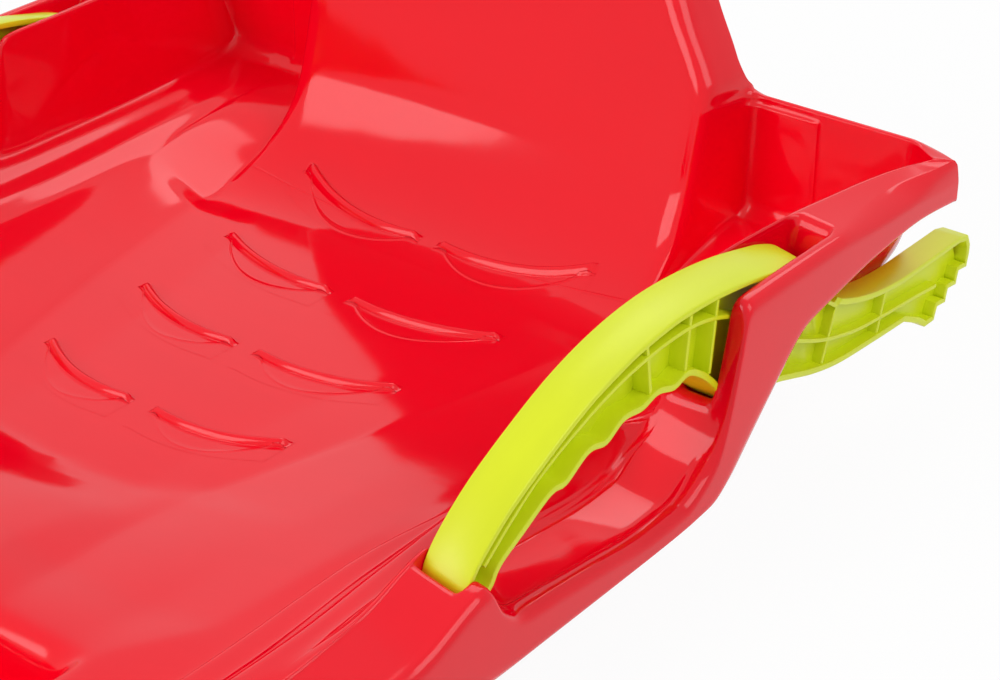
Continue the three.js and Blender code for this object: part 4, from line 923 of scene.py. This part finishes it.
def cut_rope_holes(shell):
    """Cuts the two round holes through the nose rim and keeps their edges crisp."""
    radius = ROPE_HOLE_RADIUS * MM
    centres = to_metres([(side * ROPE_HOLE_X, ROPE_HOLE_Y, ROPE_HOLE_Z) for side in (1, -1)])
    work = bmesh.new()
    for centre in centres:
        bmesh.ops.create_cone(
            work, cap_ends=True, segments=ROPE_HOLE_SIDES, radius1=radius, radius2=radius,
            depth=ROPE_HOLE_DEPTH * MM, matrix=Matrix.Translation(Vector(centre)),
        )
    mesh = bpy.data.meshes.new("rope_hole_cutter")
    work.to_mesh(mesh)
    work.free()
    cutter = bpy.data.objects.new("rope_hole_cutter", mesh)
    bpy.context.scene.collection.objects.link(cutter)
    holes = shell.modifiers.new("rope holes", "BOOLEAN")
    holes.operation = "DIFFERENCE"
    holes.solver = "EXACT"
    holes.object = cutter
    state = bpy.context.evaluated_depsgraph_get()
    cut = bpy.data.meshes.new_from_object(shell.evaluated_get(state))
    if len(cut.polygons) == 0:
        raise RuntimeError("cutting the rope holes left nothing of the shell")
    shell.modifiers.clear()
    shell.data = cut
    bpy.data.objects.remove(cutter)
    work = bmesh.new()
    work.from_mesh(cut)
    for edge in work.edges:
        middle = (edge.verts[0].co + edge.verts[1].co) / 2
        away = min((middle - Vector((*centre[:2], middle.z))).length for centre in centres)
        if away < ROPE_HOLE_EDGE_REACH * radius and len(edge.link_faces) == 2:
            edge.smooth = edge.calc_face_angle() <= ROPE_HOLE_EDGE_ANGLE
    work.to_mesh(cut)
    work.free()


def face_up(made):
    """Turns the faces so that most of them look up."""
    mesh = made.data
    total = sum(polygon.normal.z * polygon.area for polygon in mesh.polygons)
    if total < 0:
        mesh.flip_normals()


def join_meshes(name, parts):
    """One mesh object from several lists of points and faces."""
    points, faces = [], []
    for part_points, part_faces in parts:
        first = len(points)
        points += list(part_points)
        faces += [tuple(index + first for index in face) for face in part_faces]
    return mesh_object(name, points, faces)


def grid_faces(rows, columns, closed=False):
    faces = []
    for row in range(rows - 1):
        for column in range(columns if closed else columns - 1):
            ahead = (column + 1) % columns
            faces.append((
                row * columns + column, row * columns + ahead,
                (row + 1) * columns + ahead, (row + 1) * columns + column,
            ))
    return faces


def seat_height(x, y):
    across = x / BACK_HALF_WIDTH
    into = y - (BACK_START_Y - BACK_DISH * across * across)
    return 0 if into <= 0 else BACK_RADIUS - math.sqrt(BACK_RADIUS**2 - into**2)


def fade(share, ends):
    """One along a rib, easing to nothing at its inner and its outer end."""
    (before, rise), (after, fall) = ends
    return float(ease(min((share + before) / rise, (1 + after - share) / fall)))


def hump(away, half_width):
    """One along the middle of a ridge, and nothing beyond its foot."""
    return max(0.0, 1 - (away / half_width) ** 2)


def rib_patch(row, side, sizes):
    """A grip rib as a patch on the seat: ridge, and the thin line round the field before it."""
    outer_x = RIB_OUTER_X + RIB_OUTER_GROWTH * row
    half = sizes.rib_half_width / MM
    height = sizes.rib_height / MM
    apron = sizes.rib_apron / MM
    points = []
    for step in range(RIB_STEPS + 1):
        share = (1 + 2 * RIB_OVERRUN) * step / RIB_STEPS - RIB_OVERRUN
        x = mix(RIB_INNER_X, outer_x, share)
        inside = min(max(share, 0), 1)
        ridge_y = row * RIB_PITCH + RIB_SWEEP * share - 2 * RIB_BOW * inside * (1 - inside)
        thick = half * mix(*RIB_GROWTH, inside)
        field = apron * math.sin(math.pi * inside) ** RIB_FULLNESS
        field = max(field, half + RIB_LINE_HALF_WIDTH)
        ridge_height = height * fade(share, RIDGE_FADE)
        line_height = RIB_LINE_HEIGHTS[row] * fade(share, LINE_FADE)
        front = -apron - RIB_FRONT_MARGIN
        line_start = -field - RIB_LINE_MARGINS[0]
        field_ends = (RIB_LINE_MARGINS[1] - field, -thick - RIDGE_MARGIN)
        places = [front, (front + line_start) / 2, line_start]
        places += [RIB_LINE_HALF_WIDTH * spot / 2 - field for spot in range(-2, 3)]
        places += [mix(*field_ends, spot / FIELD_STEPS) for spot in range(1, FIELD_STEPS)]
        places += [
            thick * math.sin(math.pi / 2 * spot / RIDGE_STEPS)
            for spot in range(-RIDGE_STEPS, RIDGE_STEPS + 1)
        ]
        places += [thick + margin for margin in RIB_REAR_MARGINS]
        for away in places:
            rise = hump(away, thick) ** RIB_FULLNESS * ridge_height
            rise += hump(away + field, RIB_LINE_HALF_WIDTH) * line_height
            y = ridge_y + away
            points.append((side * x, y, shell_height(x, y) + RIB_LIFT + rise))
    columns = len(points) // (RIB_STEPS + 1)
    return to_metres(points), grid_faces(RIB_STEPS + 1, columns)


def seam_patch(side):
    """The faint line across the seat where the arc of the backrest begins."""
    points = []
    for x, seam_y in np.linspace(SEAM_START, SEAM_END, SEAM_STEPS):
        for away in SEAM_OFFSETS:
            y = seam_y + away
            rise = SEAM_HEIGHT * hump(away, SEAM_HALF_WIDTH)
            points.append((side * x, y, shell_height(x, y) + RIB_LIFT + rise))
    return to_metres(points), grid_faces(SEAM_STEPS, len(SEAM_OFFSETS))


def keel_part(side):
    """A runner keel with rounded lower edges, closed against the shell above it."""
    rows = []
    half = KEEL_WIDTH / 2
    for step in range(KEEL_STEPS + 1):
        y = mix(KEEL_FRONT_Y, KEEL_REAR_Y, step / KEEL_STEPS)
        top = shell_height(KEEL_X, y) - KEEL_SINK
        foot = min(straight(KEEL_FOOT, y), top - KEEL_LEAST_HEIGHT)
        section = [
            (-half, top), (-half, mix(top, foot, KEEL_SIDE_SHARE)), (-half, foot + KEEL_EDGE),
        ]
        for turn in KEEL_EDGE_TURNS:
            angle = turn * math.pi / 2
            x = KEEL_EDGE * (1 - math.cos(angle)) - half
            section.append((x, foot + KEEL_EDGE * (1 - math.sin(angle))))
        mirrored = [(-x, z) for x, z in reversed(section)]
        rows += [(side * (KEEL_X + x), y, z) for x, z in section + mirrored]
    columns = len(rows) // (KEEL_STEPS + 1)
    faces = grid_faces(KEEL_STEPS + 1, columns, closed=True)
    faces.append(tuple(range(columns)))
    faces.append(tuple(range(KEEL_STEPS * columns, (KEEL_STEPS + 1) * columns)))
    return to_metres(rows), faces


def shell_height(x, y):
    """Height of the shell between the middle and the seat crease."""
    if y >= BACK_START_Y - BACK_DISH:
        return seat_height(x, y)
    if y < FRONT_ROW_Y:
        share = (FRONT_ROW_Y - y) / (FRONT_ROW_Y - nose_inner_y(x))
        foot = shell_height(x, FRONT_ROW_Y)
        rise = straight(list(zip(FRONT_REACH, FRONT_RISE))[::-1], share)
        return mix(foot, NOSE_RIM_INNER_Z, rise)
    return straight([crease_point(column, y)[::2] for column in range(BORDER_COLUMN + 2)], x)


# Brake lever


def dense(line):
    """Points of a smooth line through a list of (y, z)."""
    points = np.array(line, float)
    lengths = np.r_[0, np.cumsum(np.linalg.norm(np.diff(points, axis=0), axis=1))]
    padded = np.vstack([2 * points[0] - points[1], points, 2 * points[-1] - points[-2]])
    made = []
    for index in range(len(points) - 1):
        p0, p1, p2, p3 = padded[index:index + 4]
        count = max(1, round((lengths[index + 1] - lengths[index]) / LINE_STEP))
        for place in range(count):
            t = place / count
            made.append(
                0.5 * (2 * p1 + (p2 - p0) * t + (2 * p0 - 5 * p1 + 4 * p2 - p3) * t**2
                       + (3 * p1 - p0 - 3 * p2 + p3) * t**3)
            )
    made.append(points[-1])
    return [tuple(point) for point in made]


def lever_outline():
    top = dense(LEVER_TOP)
    bottom = dense(LEVER_BOTTOM)
    corners = [top[-1], *LEVER_TAIL, *LEVER_TEETH, *LEVER_HEEL, bottom[0]]
    line = [*top]
    for pair in zip(corners, corners[1:]):
        line += [tuple(point) for point in even(pair, CORNER_STEPS)[1:-1]]
        line.append(pair[1])
    return [*line, *bottom[1:]]


def strip_outline(line, thickness):
    points = np.array(dense(line), float)
    along = np.gradient(points, axis=0)
    along /= np.linalg.norm(along, axis=1, keepdims=True)
    across = np.c_[-along[:, 1], along[:, 0]] * thickness / 2
    return [tuple(p) for p in points + across] + [tuple(p) for p in (points - across)[::-1]]


def even(line, count):
    """The same line with points at even steps."""
    points = np.array(line, float)
    lengths = np.r_[0, np.cumsum(np.linalg.norm(np.diff(points, axis=0), axis=1))]
    places = np.linspace(0, lengths[-1], count)
    return np.c_[np.interp(places, lengths, points[:, 0]), np.interp(places, lengths, points[:, 1])]


def lever_inner_x(y):
    """Inner side of the lever: the grip, its taper and the thinner arm."""
    return straight((
        (TAPER_START_Y, LEVER_INNER_X), (ARM_START_Y, LEVER_INNER_X + TAPER),
        (ARM_START_Y + TAPER_STEP, ARM_INNER_X),
    ), y)


def lever_band(outline, skin, edge):
    """The band round the lever: a section with rounded edges swept along the outline."""
    points = np.array(outline, float)
    along = np.roll(points, -1, axis=0) - np.roll(points, 1, axis=0)
    along /= np.linalg.norm(along, axis=1, keepdims=True)
    inward = np.c_[along[:, 1], -along[:, 0]]
    inward = sum(np.roll(inward, shift, axis=0) for shift in range(-2, 3))
    inward /= np.linalg.norm(inward, axis=1, keepdims=True)
    near = BAND_EDGE_SHARE * edge
    made = []
    for (y, z), (into_y, into_z) in zip([*points, points[0]], [*inward, inward[0]]):
        low, high = lever_inner_x(y), LEVER_OUTER_X
        section = (
            (low + edge, 0), (low + near, near), (low, edge), (low, skin - edge),
            (low + near, skin - near), (low + edge, skin), (high - edge, skin),
            (high - near, skin - near), (high, skin - edge), (high, edge),
            (high - near, near), (high - edge, 0),
        )
        made += [(x, y + into_y * depth, z + into_z * depth) for x, depth in section]
    return made, grid_faces(len(points) + 1, len(section), closed=True)


def lever_web(depth):
    """The two faces of the web between the upper and the lower line of the lever."""
    upper = even(dense(LEVER_TOP), WEB_STEPS)
    below = [*dense(LEVER_BOTTOM)[::-1], *LEVER_HEEL[::-1], *LEVER_TEETH[::-1]]
    lower = even(below, WEB_STEPS)
    points, faces = [], []
    for side in (-1, 1):
        first = len(points)
        for top, foot in zip(upper, lower):
            reach = min(depth / np.linalg.norm(top - foot), WEB_LARGEST_SHARE)
            for share in (reach, 1 - reach):
                y, z = mix(top, foot, share)
                middle = (lever_inner_x(y) + LEVER_OUTER_X) / 2
                points.append((middle + side * WEB_HALF_THICKNESS, y, z))
        strip = grid_faces(WEB_STEPS, 2)
        faces += [tuple(index + first for index in face[::side]) for face in strip]
    return points, faces


def plate(outlines, low_x, high_x, edge):
    """A plate with rounded edges from outlines in y and z, as points and faces."""
    curve = bpy.data.curves.new("plate", "CURVE")
    curve.dimensions = "2D"
    curve.fill_mode = "BOTH"
    curve.extrude = (high_x - low_x) / 2 - edge
    curve.bevel_depth = edge
    curve.bevel_resolution = 1
    curve.offset = -edge
    for outline in outlines:
        spline = curve.splines.new("POLY")
        spline.points.add(len(outline) - 1)
        for place, (y, z) in enumerate(outline):
            spline.points[place].co = (y, z, 0, 1)
        spline.use_cyclic_u = True
    holder = bpy.data.objects.new("plate", curve)
    bpy.context.scene.collection.objects.link(holder)
    bpy.context.view_layer.update()
    depsgraph = bpy.context.evaluated_depsgraph_get()
    mesh = bpy.data.meshes.new_from_object(holder.evaluated_get(depsgraph))
    middle = (low_x + high_x) / 2
    points = [(middle + v.co.z, v.co.x, v.co.y) for v in mesh.vertices]
    faces = [tuple(polygon.vertices) for polygon in mesh.polygons]
    bpy.data.objects.remove(holder)
    bpy.data.curves.remove(curve)
    bpy.data.meshes.remove(mesh)
    return points, faces


def circle(radius):
    """A circle round the pin's axis, as y and z."""
    turns = np.linspace(0, 2 * math.pi, CIRCLE_STEPS, endpoint=False)
    return [(HUB_Y + radius * math.cos(turn), HUB_Z + radius * math.sin(turn)) for turn in turns]


def lever_parts(sizes):
    """The plates that make a brake lever, in millimetres."""
    skin = sizes.lever_skin / MM
    edge = sizes.lever_edge / MM
    hub = [circle(HUB_RADIUS), circle(PIN_RADIUS + PIN_PLAY)]
    parts = [
        lever_band(lever_outline(), skin, edge),
        lever_web(WEB_INTO_BAND * skin),
        plate(hub, LEVER_INNER_X, LEVER_OUTER_X, edge),
    ]
    ribs = [(MID_RIB, LEVER_INNER_X, LONG_RIB_INSETS), (ARM_RIB, ARM_INNER_X, LONG_RIB_INSETS)]
    for top, foot in CROSS_RIBS:
        inner_x = LEVER_INNER_X if top[0] < ARM_START_Y else ARM_INNER_X
        ribs.append(((foot, top), inner_x, CROSS_RIB_INSETS))
    for line, inner_x, (inner_inset, outer_inset) in ribs:
        outline = strip_outline(line, sizes.lever_rib / MM)
        parts.append(plate([outline], inner_x + inner_inset, LEVER_OUTER_X - outer_inset, edge))
    return parts


def crown_lever(points, crown):
    """Slopes the top of the grip down towards its outer edge."""
    made = []
    width = LEVER_OUTER_X - LEVER_INNER_X
    for x, y, z in points:
        near = 0
        if y < ARM_START_Y + CROWN_RUNOUT:
            near = float(ease(1 - (straight(LEVER_TOP, y) - z) / CROWN_DEPTH))
        share = (x - LEVER_INNER_X) / width
        fall = crown * (share - CROWN_LEVEL_SHARE + CROWN_BOW * (2 * share - 1) ** 2)
        made.append((x, y, z - near * fall))
    return made


# Materials


class Wire:
    """A node output that can be used in a Python expression."""

    def __init__(self, nodes, socket):
        self.nodes = nodes
        self.socket = socket

    def __add__(self, other):
        return self.nodes.math("ADD", self, other)

    def __sub__(self, other):
        return self.nodes.math("SUBTRACT", self, other)

    def __rsub__(self, other):
        return self.nodes.math("SUBTRACT", other, self)

    def __mul__(self, other):
        return self.nodes.math("MULTIPLY", self, other)

    __radd__ = __add__
    __rmul__ = __mul__

    def clamped(self):
        return self.nodes.math("ADD", self, 0.0, clamp=True)


class Nodes:
    """A node tree that is built anew."""

    def __init__(self, tree):
        self.tree = tree
        tree.nodes.clear()

    def node(self, kind, settings=None, sockets=None):
        """Adds a node: its settings first, then the values or links of its sockets."""
        made = self.tree.nodes.new(kind)
        for key, value in (settings or {}).items():
            setattr(made, key, value)
        for key, value in (sockets or {}).items():
            if isinstance(value, Wire):
                self.tree.links.new(value.socket, made.inputs[key])
            else:
                made.inputs[key].default_value = value
        return made

    def wire(self, kind, settings=None, sockets=None, output=0):
        """Adds a node and gives one of its outputs."""
        return Wire(self, self.node(kind, settings, sockets).outputs[output])

    def math(self, operation, *values, clamp=False):
        settings = {"operation": operation, "use_clamp": clamp}
        return self.wire("ShaderNodeMath", settings, dict(enumerate(values)))

    def blend(self, share, first, second):
        """A mix of two colours, through the colour sockets of the Mix node."""
        sockets = {0: share, 6: first, 7: second}
        return self.wire("ShaderNodeMix", {"data_type": "RGBA"}, sockets, output=2)

    def either(self, share, first, second):
        """A mix of two shaders."""
        return self.wire("ShaderNodeMixShader", sockets={0: share, 1: first, 2: second})

    def seen(self):
        """One for what the camera sees, straight or in a reflection or through the sled."""
        path = self.node("ShaderNodeLightPath")
        camera, glossy, clear = (
            Wire(self, path.outputs[name])
            for name in ("Is Camera Ray", "Is Glossy Ray", "Is Transmission Ray")
        )
        return self.math("MAXIMUM", self.math("MAXIMUM", camera, glossy), clear)


class Finish(Nodes):
    """The nodes of a material."""

    def __init__(self, name):
        self.material = bpy.data.materials.new(name)
        self.material.use_nodes = True
        super().__init__(self.material.node_tree)

    def place(self):
        return self.wire("ShaderNodeTexCoord", output="Object")

    def noise(self, vector, scale, detail, stretch=None):
        if stretch:
            vector = self.wire("ShaderNodeMapping", sockets={"Vector": vector, "Scale": stretch})
        sockets = {"Vector": vector, "Scale": scale, "Detail": detail}
        return self.wire("ShaderNodeTexNoise", sockets=sockets)

    def ramp(self, value, low, high):
        """Zero below low, one above high, straight between."""
        return self.math("MULTIPLY", value - low, 1 / (high - low), clamp=True)

    def bump(self, height, strength, distance, before=None):
        """A relief, on top of the one before it."""
        sockets = {"Strength": strength, "Distance": distance, "Height": height}
        if before:
            sockets["Normal"] = before
        return self.wire("ShaderNodeBump", sockets=sockets)

    def principled(self, base, roughness, **constants):
        """The surface shader: constants stand on its own sockets, Normal may be a relief."""
        sockets = {"Base Color": base, "Roughness": roughness, **constants}
        return self.wire("ShaderNodeBsdfPrincipled", sockets=sockets)

    def end(self, shader):
        self.node("ShaderNodeOutputMaterial", sockets={"Surface": shader})
        return self.material


def darker(colour, share):
    return (colour[0] * share, colour[1] * share, colour[2] * share, 1.0)


SHELL_FINISH = "glossy_red_plastic"


def shell_finish(colour):
    """Glossy injection-moulded plastic with flow marks, fine scratches and worn runners."""
    finish = Finish(SHELL_FINISH)
    place = finish.place()
    cloud = finish.noise(place, 7.0, 3.0)
    flow = finish.noise(place, 3.0, 4.0, stretch=(2.0, 14.0, 2.0))
    speck = finish.noise(place, 260.0, 2.0)
    scratch_a = finish.noise(place, 1.0, 2.0, stretch=(900.0, 26.0, 300.0))
    scratch_b = finish.noise(place, 1.0, 2.0, stretch=(30.0, 700.0, 300.0))
    scratches = finish.ramp(scratch_a, 0.66, 0.74) * 0.6 + finish.ramp(scratch_b, 0.68, 0.76) * 0.4
    height = finish.wire("ShaderNodeSeparateXYZ", sockets={"Vector": place}, output="Z")
    low = 1.0 - finish.ramp(height, 0.001, 0.012)
    wear = (low * finish.ramp(cloud, 0.3, 0.6)).clamped()
    tone = cloud * 0.5 + flow * 0.5
    base = finish.blend(finish.ramp(tone, 0.3, 0.7), darker(colour, 0.95), tuple(colour))
    scuffed = finish.blend(wear * 0.55, base, (0.93, 0.35, 0.36, 1.0))
    roughness = 0.055 + finish.ramp(cloud, 0.35, 0.7) * 0.03 + speck * 0.02 + scratches * 0.05
    roughness = roughness + wear * 0.35
    peel = finish.noise(place, 70.0, 2.0)
    waviness = finish.noise(place, 9.0, 1.0)
    relief = finish.bump(peel, 0.05, 0.0006)
    relief = finish.bump(waviness, 0.05, 0.003, relief)
    relief = finish.bump(1.0 - scratches, 0.05, 0.0001, relief)
    return finish.end(finish.principled(scuffed, roughness, Normal=relief, IOR=1.37))


def lever_finish(colour):
    """Satin lime plastic with a fine spark texture."""
    finish = Finish("satin_lime_plastic")
    place = finish.place()
    cloud = finish.noise(place, 16.0, 3.0)
    flow = finish.noise(place, 1.0, 3.0, stretch=(60.0, 8.0, 30.0))
    grain = finish.noise(place, 900.0, 2.0)
    tone = cloud * 0.4 + flow * 0.6
    base = finish.blend(finish.ramp(tone, 0.35, 0.65), darker(colour, 0.93), tuple(colour))
    roughness = 0.30 + cloud * 0.10 + grain * 0.08
    relief = finish.bump(grain, 0.10, 0.0002)
    relief = finish.bump(flow, 0.06, 0.001, relief)
    return finish.end(finish.principled(base, roughness, Normal=relief, IOR=1.5))


def pin_finish(colour):
    """Zinc-plated steel, brushed round its axis."""
    finish = Finish("brushed_steel")
    place = finish.place()
    brushed = finish.noise(place, 1.0, 2.0, stretch=(1800.0, 90.0, 90.0))
    cloud = finish.noise(place, 120.0, 2.0)
    base = finish.blend(brushed, darker(colour, 0.8), tuple(colour))
    roughness = 0.24 + brushed * 0.14 + cloud * 0.06
    relief = finish.bump(brushed, 0.12, 0.0002)
    return finish.end(finish.principled(base, roughness, Normal=relief, Metallic=1.0))


def floor_finish(colour):
    """Pale studio floor that looks white, with a faint shadow of the sled."""
    finish = Finish("studio_floor")
    place = finish.place()
    cloud = finish.noise(place, 3.0, 3.0)
    base = finish.blend(cloud, darker(colour, 0.985), tuple(colour))
    plain = finish.principled(base, 0.6)
    white = finish.wire("ShaderNodeEmission", sockets={"Color": WHITE, "Strength": 1.0})
    return finish.end(finish.either(finish.seen() * FLOOR_WHITE_SHARE, plain, white))


def studio_world():
    """A soft even light on the sled, and white wherever the surroundings are seen."""
    world = bpy.data.worlds.new("studio")
    world.use_nodes = True
    look = Nodes(world.node_tree)
    light, white = (
        look.wire("ShaderNodeBackground", sockets={"Color": WHITE, "Strength": strength})
        for strength in (WORLD_LIGHT, 1.0)
    )
    both = look.either(look.seen(), light, white)
    look.node("ShaderNodeOutputWorld", sockets={"Surface": both})
    return world


def dress(made, material):
    made.data.materials.clear()
    made.data.materials.append(material)


# Operators


class SLED_OT_stage(bpy.types.Operator):
    """Camera, floor, world and lamps"""

    bl_idname = "sled.stage"
    bl_label = "Stage"

    def execute(self, context):
        scene = context.scene
        scene.view_settings.view_transform = "Standard"
        camera_data = bpy.data.cameras.new("camera")
        camera_data.sensor_width = CAMERA_SENSOR
        camera_data.lens = CAMERA_LENS
        camera_data.clip_start = CAMERA_NEAR
        camera = bpy.data.objects.new("camera", camera_data)
        scene.collection.objects.link(camera)
        forward = Vector((
            -math.sin(CAMERA_AZIMUTH) * math.cos(CAMERA_ELEVATION),
            math.cos(CAMERA_AZIMUTH) * math.cos(CAMERA_ELEVATION),
            -math.sin(CAMERA_ELEVATION),
        ))
        turn = forward.to_track_quat("-Z", "Y").to_matrix().to_4x4()
        roll = Matrix.Rotation(CAMERA_ROLL, 4, "Z")
        camera.matrix_world = Matrix.Translation(CAMERA_PLACE) @ turn @ roll
        scene.camera = camera

        corners = [
            (x * FLOOR_HALF_WIDTH, y * FLOOR_HALF_WIDTH, 0)
            for x, y in ((-1, -1), (1, -1), (1, 1), (-1, 1))
        ]
        floor = mesh_object("studio_floor", corners, [(0, 1, 2, 3)])
        face_up(floor)
        dress(floor, floor_finish(scene.sled_colours.floor))
        scene.world = studio_world()

        for name, place, size, power in LAMPS:
            data = bpy.data.lights.new(name, "AREA")
            data.shape = "SQUARE"
            data.size = size
            data.energy = power
            lamp = bpy.data.objects.new(name, data)
            lamp.location = place
            aim = Vector(LAMP_AIM) - Vector(place)
            lamp.rotation_mode = "QUATERNION"
            lamp.rotation_quaternion = aim.to_track_quat("-Z", "Y")
            scene.collection.objects.link(lamp)
        return {"FINISHED"}


def shell_material(context):
    """The red plastic that the shell shares with its ribs and keels."""
    made = bpy.data.materials.get(SHELL_FINISH)
    return made or shell_finish(context.scene.sled_colours.shell)


class SLED_OT_shell(bpy.types.Operator):
    """The red moulded shell with its rim, slots and rope holes"""

    bl_idname = "sled.shell"
    bl_label = "Shell"

    def execute(self, context):
        sheet = shell_sheet()
        shell = mesh_object("moulded_shell", to_metres(sheet.points), sheet.faces)
        face_up(shell)
        for vertex in shell.data.vertices:
            if abs(vertex.co.x) < MIDDLE_REACH:
                vertex.co.x = 0
        mirror = shell.modifiers.new("other half", "MIRROR")
        mirror.merge_threshold = MIDDLE_REACH
        wall = shell.modifiers.new("wall", "SOLIDIFY")
        wall.thickness = context.scene.sled_sizes.wall
        wall.offset = -1
        rounding = shell.modifiers.new("soft edges", "SUBSURF")
        rounding.levels = 1
        rounding.render_levels = 1
        cut_rope_holes(shell)
        dress(shell, shell_material(context))
        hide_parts("hull_shell")
        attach(shell, "sled")
        return {"FINISHED"}


class SLED_OT_ribs(bpy.types.Operator):
    """The grip ribs on the seat, and the faint line behind them"""

    bl_idname = "sled.ribs"
    bl_label = "Grip ribs"

    def execute(self, context):
        sizes = context.scene.sled_sizes
        parts = [rib_patch(row, side, sizes) for row in range(RIB_ROWS) for side in (1, -1)]
        parts += [seam_patch(side) for side in (1, -1)]
        ribs = join_meshes("grip_ribs", parts)
        face_up(ribs)
        dress(ribs, shell_material(context))
        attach(ribs, "sled")
        return {"FINISHED"}


class SLED_OT_keels(bpy.types.Operator):
    """The two runner keels under the shell"""

    bl_idname = "sled.keels"
    bl_label = "Runner keels"

    def execute(self, context):
        keels = join_meshes("runner_keels", [keel_part(side) for side in (1, -1)])
        dress(keels, shell_material(context))
        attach(keels, "sled")
        return {"FINISHED"}


class SLED_OT_levers(bpy.types.Operator):
    """The two lime brake levers"""

    bl_idname = "sled.levers"
    bl_label = "Brake levers"

    def execute(self, context):
        sizes = context.scene.sled_sizes
        material = lever_finish(context.scene.sled_colours.lever)
        parts = lever_parts(sizes)
        for name, side in SIDES:
            pieces = []
            for points, faces in parts:
                shaped = crown_lever(points, sizes.lever_crown / MM)
                turned = [(side * x, y, z) for x, y, z in shaped]
                pieces.append((to_metres(turned), faces))
            lever = join_meshes("lever_" + name, pieces)
            lever.data.set_sharp_from_angle(angle=LEVER_SHARP_ANGLE)
            dress(lever, material)
            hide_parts("brake_lever_" + name)
            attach(lever, name + "_brake")
        return {"FINISHED"}


class SLED_OT_pins(bpy.types.Operator):
    """The two steel pivot pins"""

    bl_idname = "sled.pins"
    bl_label = "Pivot pins"

    def execute(self, context):
        material = pin_finish(context.scene.sled_colours.pin)
        profile = (
            (PIN_START_X, 0.0), (PIN_START_X, PIN_RADIUS - PIN_CHAMFER),
            (PIN_START_X + PIN_CHAMFER, PIN_RADIUS), (PIN_END_X - PIN_CHAMFER, PIN_RADIUS),
            (PIN_END_X, PIN_RADIUS - PIN_CHAMFER), (PIN_END_X, 0.0),
        )
        for name, side in SIDES:
            points = [(side * x, y, z) for x, radius in profile for y, z in circle(radius)]
            faces = grid_faces(len(profile), CIRCLE_STEPS, closed=True)
            pin = mesh_object("pin_" + name, to_metres(points), faces)
            pin.data.set_sharp_from_angle(angle=PIN_SHARP_ANGLE)
            dress(pin, material)
            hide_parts("pivot_pin_" + name)
            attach(pin, "sled")
        return {"FINISHED"}


class SLED_PT_panel(bpy.types.Panel):
    """Sizes, colours and building steps of the sled"""

    bl_idname = "SLED_PT_panel"
    bl_label = "Sled"
    bl_space_type = "VIEW_3D"
    bl_region_type = "UI"
    bl_category = "Sled"

    def draw(self, context):
        layout = self.layout
        for group in (context.scene.sled_sizes, context.scene.sled_colours):
            for name in group.bl_rna.properties.keys():
                if name not in ("rna_type", "name"):
                    layout.prop(group, name)
        for operator in OPERATORS:
            layout.operator(operator.bl_idname)


OPERATORS = (
    SLED_OT_stage, SLED_OT_shell, SLED_OT_ribs, SLED_OT_keels, SLED_OT_levers, SLED_OT_pins,
)
CLASSES = (SledSizes, SledColours, *OPERATORS, SLED_PT_panel)


def register():
    for item in CLASSES:
        bpy.utils.register_class(item)
    bpy.types.Scene.sled_sizes = bpy.props.PointerProperty(type=SledSizes)
    bpy.types.Scene.sled_colours = bpy.props.PointerProperty(type=SledColours)


def unregister():
    del bpy.types.Scene.sled_colours
    del bpy.types.Scene.sled_sizes
    for item in reversed(CLASSES):
        bpy.utils.unregister_class(item)


def main():
    register()
    bpy.ops.sled.stage()
    bpy.ops.sled.shell()
    bpy.ops.sled.ribs()
    bpy.ops.sled.keels()
    bpy.ops.sled.levers()
    bpy.ops.sled.pins()


if __name__ == "__main__":
    main()
